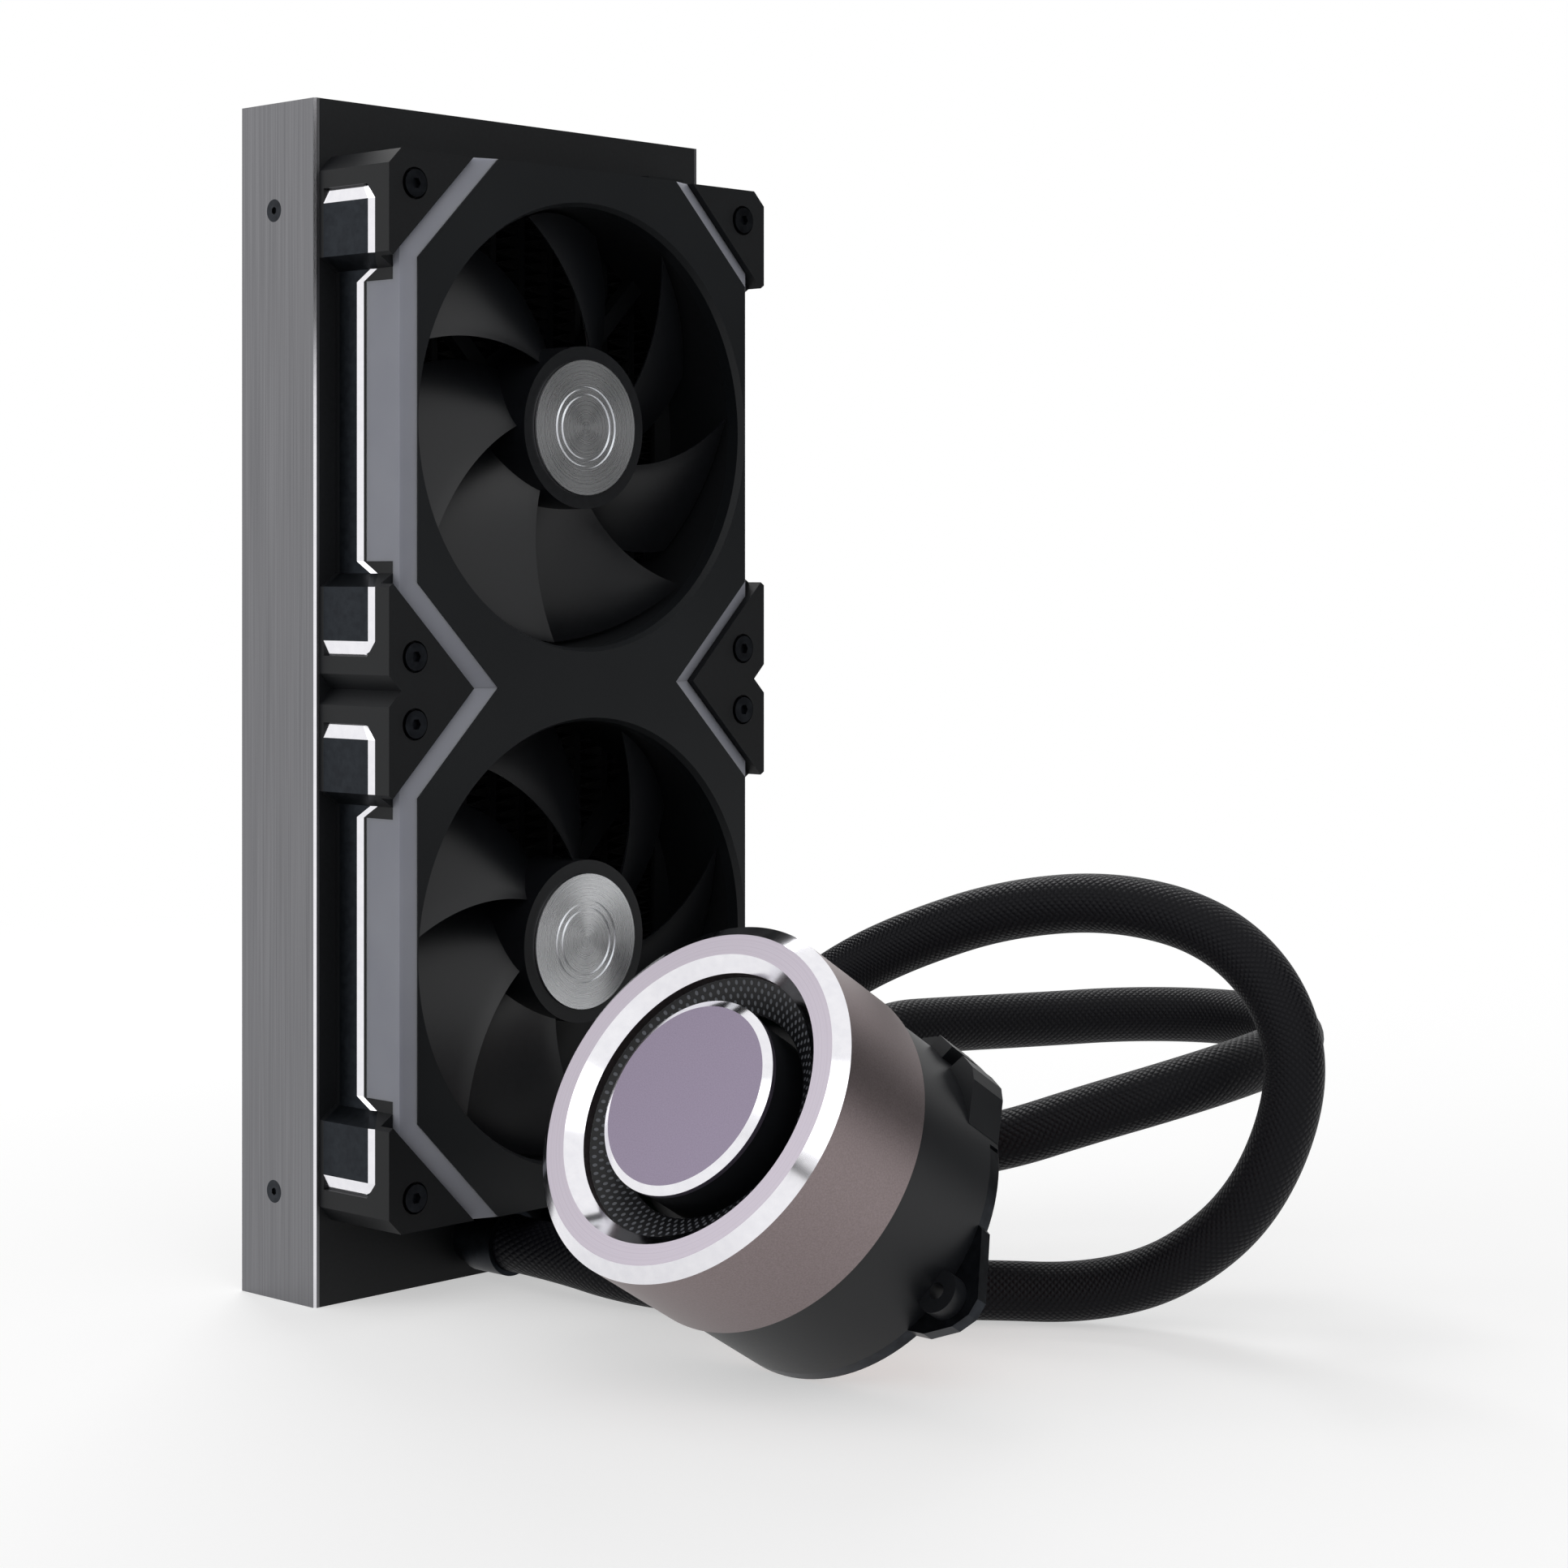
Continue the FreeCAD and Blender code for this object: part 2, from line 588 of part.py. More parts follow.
def elbow_frame(angle, aim):
    """The corner of a swivel elbow, its outward direction and the direction its hose leaves in."""
    corner = pump_point(ELBOW_DEPTH, ELBOW_REACH, angle)
    outward = corner - pump_point(ELBOW_DEPTH, 0, angle)
    outward.normalize()
    leave = V(*aim) - corner
    leave = leave - outward * leave.dot(outward)
    leave.normalize()
    return corner, outward, leave


def elbow_shoulder(angle, aim):
    """The point where a hose meets its elbow, and the direction it leaves in."""
    corner, outward, leave = elbow_frame(angle, aim)
    return corner + leave * ELBOW_LEG, leave


def elbow(angle, aim):
    """A swivel elbow in the side of the pump base."""
    corner, outward, leave = elbow_frame(angle, aim)
    shoulder = corner + leave * ELBOW_LEG
    seat = corner - outward * (ELBOW_REACH - BASE_RADIUS)
    inner = seat - outward * ELBOW_SEAT_DEPTH
    bend = [rod(ELBOW_RADIUS, seat, corner), Part.makeSphere(ELBOW_RADIUS, corner)]
    bend += [rod(ELBOW_RADIUS, corner, shoulder), rod(ELBOW_SEAT_RADIUS, inner, seat)]
    body = fused(bend + [barb(shoulder, leave)])
    tip = shoulder + leave * BARB_LENGTH
    return body.cut([rod(BARB_BORE_RADIUS, inner, corner), rod(BARB_BORE_RADIUS, corner, tip)])


def hose_ends():
    """The shoulder and leaving direction at each end of the two hoses: radiator end, pump end."""
    left, right = port_positions()
    neck = V(0, -PORT_NECK, 0)
    ahead = V(0, -1, 0)
    upper = elbow_shoulder(UPPER_ELBOW_ANGLE, UPPER_HOSE_AIM)
    lower = elbow_shoulder(LOWER_ELBOW_ANGLE, LOWER_HOSE_AIM)
    return [((left + neck, ahead), upper), (lower, (right + neck, ahead))]


def hose_collars():
    """The four crimped collars round the hose ends."""
    collars = []
    for ends in hose_ends():
        for shoulder, direction in ends:
            collars.append(sleeve(COLLAR_INNER + COLLAR_WALL, COLLAR_INNER, shoulder,
                                  shoulder + direction * COLLAR_LENGTH))
    return Part.makeCompound(collars)


def hose_routes():
    """The points of each hose, from fitting to fitting, each end straight ahead of its fitting."""
    (left, upper), (lower, right) = hose_ends()
    route_1 = [left[0], left[0] + left[1] * PORT_STRAIGHT_END] + [V(*p) for p in HOSE_1_POINTS]
    route_1 += [upper[0] + upper[1] * STRAIGHT_END, upper[0]]
    route_2 = [lower[0], lower[0] + lower[1] * STRAIGHT_END] + [V(*p) for p in HOSE_2_POINTS]
    route_2 += [right[0] + right[1] * PORT_STRAIGHT_END, right[0]]
    return route_1, route_2


def rounded_path(points):
    """Straight runs joined by tangent arcs, each arc as large as its two runs allow."""
    edges = []
    radii = []
    start = points[0]
    for before, corner, after in zip(points, points[1:], points[2:]):
        incoming = corner - before
        outgoing = after - corner
        turn = incoming.getAngle(outgoing)
        cut = 0.45 * min(incoming.Length, outgoing.Length)
        radii.append(cut / math.tan(turn / 2))
        incoming.normalize()
        outgoing.normalize()
        enter = corner - incoming * cut
        leave = corner + outgoing * cut
        inward = outgoing - incoming
        inward.normalize()
        middle = corner + inward * (radii[-1] / math.cos(turn / 2) - radii[-1])
        edges.append(Part.LineSegment(start, enter).toShape())
        edges.append(Part.Arc(enter, middle, leave).toShape())
        start = leave
    edges.append(Part.LineSegment(start, points[-1]).toShape())
    return Part.Wire(edges), radii


def tube_along(path, radius):
    """A round rod along a path."""
    first = path.Edges[0]
    start = first.Vertexes[0].Point
    direction = first.tangentAt(first.FirstParameter)
    circle = Part.Wire(Part.makeCircle(radius, start, direction))
    return path.makePipeShell([circle], True, False)


def hose(name, points):
    """One sleeved rubber hose."""
    path, radii = rounded_path(points)
    shape = tube_along(path, HOSE_RADIUS).cut(tube_along(path, HOSE_BORE / 2))
    section = math.pi * (HOSE_RADIUS ** 2 - (HOSE_BORE / 2) ** 2)
    print(name, "length", round(path.Length, 1), "radii", [round(r) for r in radii],
          "volume ratio", round(shape.Volume / (section * path.Length), 4))
    return shape


# Fans. Built about the origin: X across, Z up, and the depth from back to front along -Y.

def fan_prism(outline, back, front):
    """A prism from (across, up) pairs, between two depths."""
    return prism([V(u, -back, v) for u, v in outline], V(0, back - front, 0))


def fan_disc(radius, back, front):
    """A disc about the fan axis."""
    return rod(radius, V(0, -back, 0), V(0, -front, 0))


def fan_ring(outer, inner, back, front):
    """A ring about the fan axis."""
    return fan_disc(outer, back, front).cut(fan_disc(inner, back, front))


def mirrored_outline(quarter):
    """A closed outline from its points in one quarter, given from the top middle to the right middle."""
    right = quarter + [(u, -v) for u, v in reversed(quarter)]
    left = [(-u, v) for u, v in reversed(right)]
    return right + left


def frame_outline():
    """The fan's outline: square, with chamfered corners and a recess in each side."""
    return mirrored_outline([(HALF_FAN - CORNER_CHAMFER, HALF_FAN), (HALF_FAN, HALF_FAN - CORNER_CHAMFER),
                             (HALF_FAN, BLOCK_HALF_START), (MID_HALF, RECESS_HALF_LENGTH)])


def corner_block():
    """The outline of the raised block in one corner, ahead of the light guide's diagonal."""
    slope = (HALF_FAN - MID_HALF) / (BLOCK_HALF_START - RECESS_HALF_LENGTH)
    low = BLOCK_HALF_START - (HALF_FAN + BLOCK_HALF_START - GUIDE_CORNER_SUM) / (1 + slope)
    corner = [(HALF_FAN - CORNER_CHAMFER, HALF_FAN), (HALF_FAN, HALF_FAN - CORNER_CHAMFER)]
    return [(GUIDE_CORNER_SUM - HALF_FAN, HALF_FAN)] + corner + [(HALF_FAN, BLOCK_HALF_START),
                                                                 (GUIDE_CORNER_SUM - low, low)]


def fan_corners(shape):
    """A shape in the top right corner, copied to all four corners."""
    right = [shape, shape.mirror(V(0, 0, 0), V(0, 0, 1))]
    return right + [s.mirror(V(0, 0, 0), V(1, 0, 0)) for s in right]


def panel_stations(bevelled):
    """Height, outer face and front edge of the right side panel, from its bottom end up."""
    tip = HALF_FAN - (PANEL_T * 3 / 4 if bevelled else 0)
    half = [(PANEL_MID_HALF, MID_HALF, PANEL_MID_FRONT),
            (RECESS_HALF_LENGTH, MID_HALF, (PANEL_MID_FRONT + PANEL_END_FRONT) / 2),
            (BLOCK_HALF_START, HALF_FAN, PANEL_END_FRONT), (PANEL_TAPER_START, HALF_FAN, PANEL_END_FRONT),
            (PANEL_HALF_LENGTH, tip, PANEL_TIP_FRONT)]
    return [(-v, u, w) for v, u, w in reversed(half)] + half


def side_panel(bevelled):
    """The bent metal panel on the right side: wide at its ends, narrow between them."""
    sections = []
    for v, u, w in panel_stations(bevelled):
        inner = (MID_HALF if abs(v) <= RECESS_HALF_LENGTH else HALF_FAN) - PANEL_T
        points = [V(u, -PANEL_BACK, v), V(u, -w, v), V(inner, -w, v), V(inner, -PANEL_BACK, v)]
        if bevelled:
            points[1:2] = [V(u, PANEL_BEVEL - w, v), V(min(u, inner + PANEL_T / 2), -w, v)]
        sections.append(Part.makePolygon(points + [points[0]]))
    return Part.makeLoft(sections, True, True)


def light_guide():
    """The frosted guide on the right: a strip across each corner and down the side of the fan."""
    outer = [(GUIDE_CORNER_SUM - HALF_FAN, HALF_FAN), (MID_HALF, GUIDE_CORNER_SUM - MID_HALF)]
    inner = plate_corner()
    outline = outer + [(u, -v) for u, v in reversed(outer)] + [(u, -v) for u, v in inner]
    face = fan_prism(outline + list(reversed(inner)), FRAME_DEPTH, GUIDE_FRONT)
    side = box(MID_HALF - GUIDE_SIDE_T, MID_HALF, -FRAME_DEPTH, -GUIDE_SIDE_BACK,
               -PANEL_MID_HALF, PANEL_MID_HALF)
    return fused([face, side])


def plate_corner():
    """The two ends of the plate's diagonal edge in the top right corner."""
    return [(PLATE_CORNER_SUM - HALF_FAN, HALF_FAN), (PLATE_HALF_WIDTH, PLATE_CORNER_SUM - PLATE_HALF_WIDTH)]


def front_plate():
    """The eight sided plate round the opening, the part of the fan that stands furthest forward."""
    plate = fan_prism(mirrored_outline(plate_corner()), FRAME_DEPTH, FAN_DEPTH)
    plate = plate.cut(fan_disc(DUCT_RADIUS, FRAME_DEPTH, FAN_DEPTH))
    rim = V(0, OPENING_BEVEL - FAN_DEPTH, 0)
    mouth = DUCT_RADIUS + OPENING_BEVEL / 2
    return plate.cut(Part.makeCone(DUCT_RADIUS, mouth, OPENING_BEVEL, rim, V(0, -1, 0)))


def link_tab():
    """The hooked tab on top of a fan, which locks into the slot under the next one."""
    left = TAB_START - TAB_WIDTH
    front = -TAB_BACK - TAB_T
    top = HALF_FAN + TAB_HEIGHT
    neck = box(left, TAB_START, front, front + TAB_T * 2 / 3, HALF_FAN, top)
    hook = box(left, TAB_START, front, -TAB_BACK, top - TAB_HEIGHT / 2, top)
    return fused([neck, hook])


def link_slot():
    """The slot in the underside of a fan that the tab of the fan below sits in."""
    gap = TAB_CLEARANCE
    return box(TAB_START - TAB_WIDTH - gap, TAB_START + gap, -TAB_BACK - TAB_T - gap, -TAB_BACK + gap,
               -HALF_FAN, -HALF_FAN + TAB_HEIGHT + gap)


def fan_screw_corner(radius, back, front):
    """A rod on the axis of the top right screw."""
    return rod(radius, V(HALF_SCREWS, -back, HALF_SCREWS), V(HALF_SCREWS, -front, HALF_SCREWS))


def fan_frame():
    """The moulded frame: walls, duct, corner blocks, motor base, struts and bearing tube."""
    body = fan_prism(frame_outline(), 0, FRAME_DEPTH)
    blocks = fan_corners(fan_prism(corner_block(), FRAME_DEPTH, CORNER_BLOCK_FRONT))
    body = fused([body] + blocks)
    cuts = [fan_disc(DUCT_RADIUS, 0, FRAME_DEPTH)]
    cuts += fan_corners(fan_screw_corner(FAN_SCREW_RADIUS + FAN_SCREW_HOLE_CLEARANCE, 0, CORNER_BLOCK_FRONT))
    cuts += fan_corners(fan_screw_corner(FAN_SCREW_HEAD_RADIUS + COUNTERBORE_CLEARANCE,
                                         CORNER_BLOCK_FRONT - COUNTERBORE_DEPTH, CORNER_BLOCK_FRONT))
    for part in (side_panel(False), light_guide()):
        cuts += [on_side(part, side) for side in (-1, 1)]
    body = body.cut(cuts + [link_slot()])
    half = STRUT_WIDTH / 2
    bars = []
    for i in range(STRUT_COUNT):
        bar = box(0, DUCT_RADIUS + 1, -STRUT_DEPTH, 0, -half, half)
        bar.rotate(V(0, 0, 0), V(0, 1, 0), 45 + i * 360 / STRUT_COUNT)
        bars.append(bar)
    tube_end = MOTOR_BASE_T + BEARING_LENGTH
    hub = [fan_disc(MOTOR_BASE_RADIUS, 0, MOTOR_BASE_T), fan_disc(TUBE_RADIUS, 0, tube_end)]
    body = fused([body, link_tab()] + bars + hub)
    return body.cut(fan_disc(BEARING_RADIUS, MOTOR_BASE_T, tube_end))


def blade_point(share, radius, thick_side):
    """A point on one face of a blade: share 0 is its front edge, 1 its rear edge."""
    reach = (radius - HUB_RADIUS) / (BLADE_TIP - HUB_RADIUS)
    sweep = BLADE_SWEEP * max(reach, 0) ** 0.8
    width = BLADE_WIDTH_ROOT + (BLADE_WIDTH_TIP - BLADE_WIDTH_ROOT) * reach
    angle = math.radians(BLADE_ANGLE_ROOT + sweep - width * share)
    thickness = BLADE_T_ROOT + (BLADE_T_TIP - BLADE_T_ROOT) * reach
    edge = 0.25 + 0.75 * math.sin(math.pi * share)
    depth = BLADE_FRONT - (BLADE_FRONT - BLADE_BACK) * share ** 0.85 + thick_side * thickness * edge / 2
    return V(radius * math.cos(angle), -depth, radius * math.sin(angle))


def blade():
    """One swept blade, between a front and a back curved face."""
    shares = [i / 6 for i in range(7)]
    root = HUB_RADIUS - HUB_WALL / 2
    radii = [root + (BLADE_TIP - root) * i / 5 for i in range(6)]
    faces = []
    for thick_side in (1, -1):
        surface = Part.BSplineSurface()
        surface.interpolate([[blade_point(s, r, thick_side) for s in shares] for r in radii])
        faces.append(surface.toShape())
    front, back = faces
    for edge in front.Edges:
        twin = min(back.Edges, key=lambda e: (e.CenterOfMass - edge.CenterOfMass).Length)
        faces.append(Part.makeRuledSurface(edge, twin))
    shell = Part.makeShell(faces)
    shell.sewShape()
    solid = Part.makeSolid(Part.Shell(shell.Faces))
    if solid.Volume < 0:
        solid.reverse()
    return solid


def fan_rotor():
    """The moulded rotor: a cup shaped hub with its blades."""
    hub = fan_disc(HUB_RADIUS, HUB_BACK, HUB_FRONT)
    hub = hub.cut(fan_disc(HUB_RADIUS - HUB_WALL, HUB_BACK, HUB_INNER_FACE))
    blades = []
    for i in range(BLADE_COUNT):
        one = blade()
        one.rotate(V(0, 0, 0), V(0, 1, 0), i * 360 / BLADE_COUNT)
        blades.append(one)
    rotor = fused([hub] + blades)
    return rotor.cut(fan_disc(CAP_RADIUS + CAP_CLEARANCE, HUB_FRONT - CAP_T + CAP_PROUD, HUB_FRONT))


def hub_cap():
    """The turned metal disc in the middle of the rotor, with two fine grooves."""
    front = HUB_FRONT + CAP_PROUD
    cap = fan_disc(CAP_RADIUS, front - CAP_T, front)
    grooves = [fan_ring(r, r - GROOVE_WIDTH, front - GROOVE_DEPTH, front) for r in CAP_GROOVES]
    return cap.cut(grooves)


def rotor_yoke():
    """The steel cup with its magnet inside the hub, with a boss that grips the shaft."""
    outer = HUB_RADIUS - HUB_WALL - YOKE_CLEARANCE
    front = HUB_INNER_FACE
    cup = fan_disc(outer, front - YOKE_LENGTH, front)
    cup = cup.cut(fan_disc(outer - 2 * YOKE_WALL, front - YOKE_LENGTH, front - YOKE_WALL))
    boss = fan_disc(BEARING_RADIUS, YOKE_BOSS_BACK, front)
    return fused([cup, boss]).cut(fan_disc(SHAFT_RADIUS, YOKE_BOSS_BACK, front))


def fan_shaft():
    """The steel shaft, fixed in the yoke and running in the bearing."""
    return fan_disc(SHAFT_RADIUS, MOTOR_BASE_T + 0.4, HUB_INNER_FACE)


def fan_bearing():
    """The sleeve bearing in the tube of the frame."""
    return fan_ring(BEARING_RADIUS, SHAFT_BORE, MOTOR_BASE_T, MOTOR_BASE_T + BEARING_LENGTH)


def stator_core(outer, inner, length, poles):
    """A stator about Z from 0 to a length: a core ring with wound poles."""
    hub = Part.makeCylinder(inner + 1.5, length).cut(Part.makeCylinder(inner, length))
    width = outer * 0.55
    span = outer - 1.5
    pieces = [hub]
    for i in range(poles):
        arm = box(inner + 0.75, span, -width / 2, width / 2, length * 0.1, length * 0.9)
        arm.rotate(V(0, 0, 0), V(0, 0, 1), i * 360 / poles)
        pieces.append(arm)
    shoes = Part.makeCylinder(outer, length * 0.5, V(0, 0, length * 0.25))
    shoes = shoes.cut(Part.makeCylinder(span - 0.5, length * 0.5, V(0, 0, length * 0.25)))
    gaps = []
    for i in range(poles):
        gap = box(0, outer + 1, -0.6, 0.6, 0, length)
        gap.rotate(V(0, 0, 0), V(0, 0, 1), (i + 0.5) * 360 / poles)
        gaps.append(gap)
    limit = Part.makeCylinder(outer, length)
    return fused(pieces + [shoes.cut(gaps)]).common(limit)


def fan_stator():
    """The four pole stator round the bearing tube."""
    outer = HUB_RADIUS - HUB_WALL - YOKE_CLEARANCE - 2 * YOKE_WALL - AIR_GAP
    core = stator_core(outer, TUBE_RADIUS, STATOR_LENGTH, STATOR_POLES)
    core.rotate(V(0, 0, 0), V(1, 0, 0), 90)
    core.translate(V(0, -STATOR_BACK, 0))
    return core


def motor_board():
    """The round circuit board behind the stator, carried by the bearing tube."""
    return fan_ring(HUB_RADIUS - 2 * HUB_WALL - 2 * YOKE_WALL, TUBE_RADIUS, BOARD_BACK, BOARD_BACK + BOARD_T)


def fan_screws():
    """The four screws that hold one fan to the radiator."""
    seat = CORNER_BLOCK_FRONT - COUNTERBORE_DEPTH
    head = fan_screw_corner(FAN_SCREW_HEAD_RADIUS, seat, seat + FAN_SCREW_HEAD_T)
    shank = fan_screw_corner(FAN_SCREW_RADIUS, -FAN_SCREW_REACH, seat)
    centre = V(HALF_SCREWS, -(seat + FAN_SCREW_HEAD_T - SOCKET_DEPTH), HALF_SCREWS)
    screw = fused([head, shank]).cut(hexagon(SOCKET_RADIUS, centre, V(0, -1, 0), SOCKET_DEPTH))
    return Part.makeCompound(fan_corners(screw))


def build_fan(name, hub_height, turn):
    """Write the nodes of one fan at its height on the radiator."""
    shapes = {
        "frame": fan_frame(),
        "front_plate": front_plate(),
        "left_light_guide": on_side(light_guide(), -1),
        "right_light_guide": light_guide(),
        "left_side_panel": on_side(side_panel(True), -1),
        "right_side_panel": side_panel(True),
        "rotor": fan_rotor(),
        "hub_cap": hub_cap(),
        "rotor_yoke": rotor_yoke(),
        "shaft": fan_shaft(),
        "bearing": fan_bearing(),
        "stator": fan_stator(),
        "motor_board": motor_board(),
        "screws": fan_screws(),
    }
    shapes["rotor"].rotate(V(0, 0, 0), V(0, -1, 0), turn)
    for part, shape in shapes.items():
        shape.translate(V(0, FRONT_Y, hub_height))
        save(name + "_" + part, shape)


# Pump head. Built about the origin with its axis on Z: the face is at 0 and depths go down.

def place_pump(shape):
    """Move a shape from the pump's own frame to its place."""
    turn = FreeCAD.Rotation(PUMP_UP, PUMP_SIDE, PUMP_AXIS, "ZXY")
    shape.Placement = FreeCAD.Placement(PUMP_FACE, turn).multiply(shape.Placement)
    return shape


def pump_disc_shape(radius, front, back):
    """A disc about the pump axis between two depths."""
    return Part.makeCylinder(radius, back - front, V(0, 0, -back))


def pump_ring(outer, inner, front, back):
    """A ring about the pump axis between two depths."""
    return pump_disc_shape(outer, front, back).cut(pump_disc_shape(inner, front, back))


def pump_prism(outline, out, front, back):
    """A prism between two depths: each corner is an angle, and a share of how far it stands out."""
    points = []
    for angle, share in outline:
        turn = math.radians(angle)
        reach = BASE_RADIUS + share * out
        points.append(V(reach * math.sin(turn), reach * math.cos(turn), -back))
    return prism(points, V(0, 0, back - front))


def ear_rod(radius, front, back):
    """A rod on the axis of the screw hole in the lower ear, between two depths."""
    turn = math.radians(EAR_ANGLE)
    centre = V(EAR_HOLE_REACH * math.sin(turn), EAR_HOLE_REACH * math.cos(turn), -back)
    return Part.makeCylinder(radius, back - front, centre)


def both_ears(shape):
    """A shape at the lower ear, and its copy at the ear opposite."""
    opposite = shape.copy()
    opposite.rotate(V(0, 0, 0), V(0, 0, 1), 180)
    return [shape, opposite]


def pump_cap():
    """The anodised aluminium cap: a ring face with two bright chamfers and a long side wall."""
    return turned([(CAP_FACE_OUTER, 0), (CAP_OUTER_RADIUS, CAP_OUTER_CHAMFER_DEPTH),
                   (CAP_OUTER_RADIUS, CAP_LENGTH - CAP_REAR_CHAMFER),
                   (CAP_OUTER_RADIUS - CAP_REAR_CHAMFER, CAP_LENGTH),
                   (CAP_BORE, CAP_LENGTH), (CAP_BORE, CAP_LIP_DEPTH), (CAP_MOUTH_RADIUS, CAP_LIP_DEPTH),
                   (CAP_MOUTH_RADIUS, CAP_MOUTH_DEPTH), (CAP_FACE_INNER, 0)])


def mesh_ring():
    """The sloping perforated ring round the centre column."""
    low = CAP_LIP_DEPTH
    cone = turned([(CAP_MOUTH_RADIUS + 2, low), (CAP_MOUTH_RADIUS, low), (MESH_INNER_RADIUS, MESH_DEPTH),
                   (MESH_INNER_RADIUS, MESH_DEPTH + MESH_T), (CAP_MOUTH_RADIUS, low + MESH_T),
                   (CAP_MOUTH_RADIUS + 2, low + MESH_T)])
    holes = []
    span = CAP_MOUTH_RADIUS - MESH_INNER_RADIUS
    for row in range(MESH_ROWS):
        radius = MESH_INNER_RADIUS + span * (row + 0.6) / MESH_ROWS
        for i in range(MESH_HOLES):
            turn = math.radians((i + 0.5 * (row % 2)) * 360 / MESH_HOLES)
            centre = V(radius * math.cos(turn), radius * math.sin(turn), -MESH_DEPTH - MESH_T - 1)
            holes.append(Part.makeCylinder(MESH_HOLE_RADIUS, MESH_DEPTH, centre))
    return cone.cut(Part.makeCompound(holes))


def pump_well():
    """The black inner housing: the column under the disc and the floor below the light board."""
    rim = CAP_BORE - BASE_SPIGOT_CLEARANCE
    column_inner = WELL_COLUMN_RADIUS - WELL_COLUMN_WALL
    step = WELL_FLOOR - WELL_STEP
    under = WELL_FLOOR + WELL_FLOOR_T
    roof = WELL_TOP + WELL_COLUMN_WALL
    return turned([(0, WELL_TOP), (WELL_COLUMN_RADIUS, WELL_TOP), (WELL_COLUMN_RADIUS, step),
                   (LIGHT_BOARD_INNER, step), (LIGHT_BOARD_INNER, WELL_FLOOR), (rim, WELL_FLOOR),
                   (rim, SPIGOT_TOP), (DRY_RADIUS, SPIGOT_TOP), (DRY_RADIUS, under), (column_inner, under),
                   (column_inner, roof), (0, roof)])


def pump_disc():
    """The round centre plate with its bright bevel."""
    return turned([(0, -DISC_PROUD), (DISC_RADIUS - DISC_BEVEL_R, -DISC_PROUD),
                   (DISC_RADIUS, DISC_BEVEL_D - DISC_PROUD), (DISC_RADIUS, WELL_TOP), (0, WELL_TOP)])


def light_board():
    """The ring shaped circuit board of the lights, on the floor of the inner housing."""
    front = WELL_FLOOR - LIGHT_BOARD_T
    board = pump_ring(LIGHT_BOARD_OUTER, LIGHT_BOARD_INNER, front, WELL_FLOOR)
    lights = []
    middle = (LIGHT_BOARD_OUTER + LIGHT_BOARD_INNER) / 2
    for i in range(LIGHT_COUNT):
        half = LIGHT_SIZE / 2
        light = box(middle - half, middle + half, -half, half, -front, -front + LIGHT_T)
        light.rotate(V(0, 0, 0), V(0, 0, 1), i * 360 / LIGHT_COUNT)
        lights.append(light)
    return fused([board] + lights)


def elbow_bore(angle):
    """The seat of an elbow and the passage behind it, in the pump's own frame."""
    turn = math.radians(angle)
    outward = V(math.sin(turn), math.cos(turn), 0)
    centre = V(0, 0, -ELBOW_DEPTH)
    inner = centre + outward * (BASE_RADIUS - ELBOW_SEAT_DEPTH)
    seat = rod(ELBOW_SEAT_RADIUS, inner, centre + outward * BASE_RADIUS)
    passage = rod(BARB_BORE_RADIUS, centre + outward * (WET_RADIUS - BASE_WALL_T), inner)
    return [seat, passage]


def pump_base():
    """The black base moulding: dry chamber and rotor can above, wet chamber below."""
    can_inner = CAN_RADIUS - CAN_WALL
    can_floor = CAN_TOP + CAN_WALL
    wet_top = DRY_FLOOR + BASE_WALL_T
    outside = [(DRY_RADIUS, SPIGOT_TOP), (SPIGOT_RADIUS, SPIGOT_TOP), (SPIGOT_RADIUS, CAP_LENGTH),
               (BASE_RADIUS, CAP_LENGTH), (BASE_RADIUS, BASE_END)]
    wet_side = [(PARTITION_RADIUS, BASE_END), (PARTITION_RADIUS, WET_FLOOR), (WET_RADIUS, WET_FLOOR),
                (WET_RADIUS, wet_top), (can_inner, wet_top), (can_inner, can_floor)]
    can = [(PUMP_SHAFT_RADIUS, can_floor), (PUMP_SHAFT_RADIUS, CAN_TOP + CAN_SKIN), (0, CAN_TOP + CAN_SKIN),
           (0, CAN_TOP), (CAN_RADIUS, CAN_TOP), (CAN_RADIUS, DRY_FLOOR), (DRY_RADIUS, DRY_FLOOR)]
    groove = pump_ring(BASE_RADIUS + 1, BASE_RADIUS - RING_SEAT_DEPTH, RING_BACK - RING_T, RING_BACK)
    body = turned(outside + wet_side + can).cut(groove.cut(ring_opening(0)))
    boss_front = RING_BACK - RING_T - EAR_BOSS_LENGTH
    boss = ear_rod(EAR_BOSS_RADIUS, boss_front, RING_BACK - RING_T)
    clips = [pump_prism(outline, FLANGE_OUT, BASE_END - CLIP_LENGTH, BASE_END) for outline in CLIP_OUTLINES]
    flange = pump_prism(FLANGE_OUTLINE, FLANGE_OUT, BASE_END - FLANGE_T, BASE_END)
    body = fused([body, flange, boss] + clips)
    cuts = [pump_ring(GASKET_INNER + GASKET_WIDTH, GASKET_INNER, BASE_END - GASKET_DEPTH, BASE_END)]
    cuts.append(ear_rod(EAR_HOLE_RADIUS, boss_front, RING_BACK - RING_T))
    for angle in (UPPER_ELBOW_ANGLE, LOWER_ELBOW_ANGLE):
        cuts += elbow_bore(angle)
    for place in plate_screw_places():
        tip = place + V(0, 0, PLATE_SCREW_LENGTH - PLATE_T)
        cuts.append(rod(PLATE_SCREW_RADIUS + THREAD_CLEARANCE, place, tip))
    return body.cut(cuts)


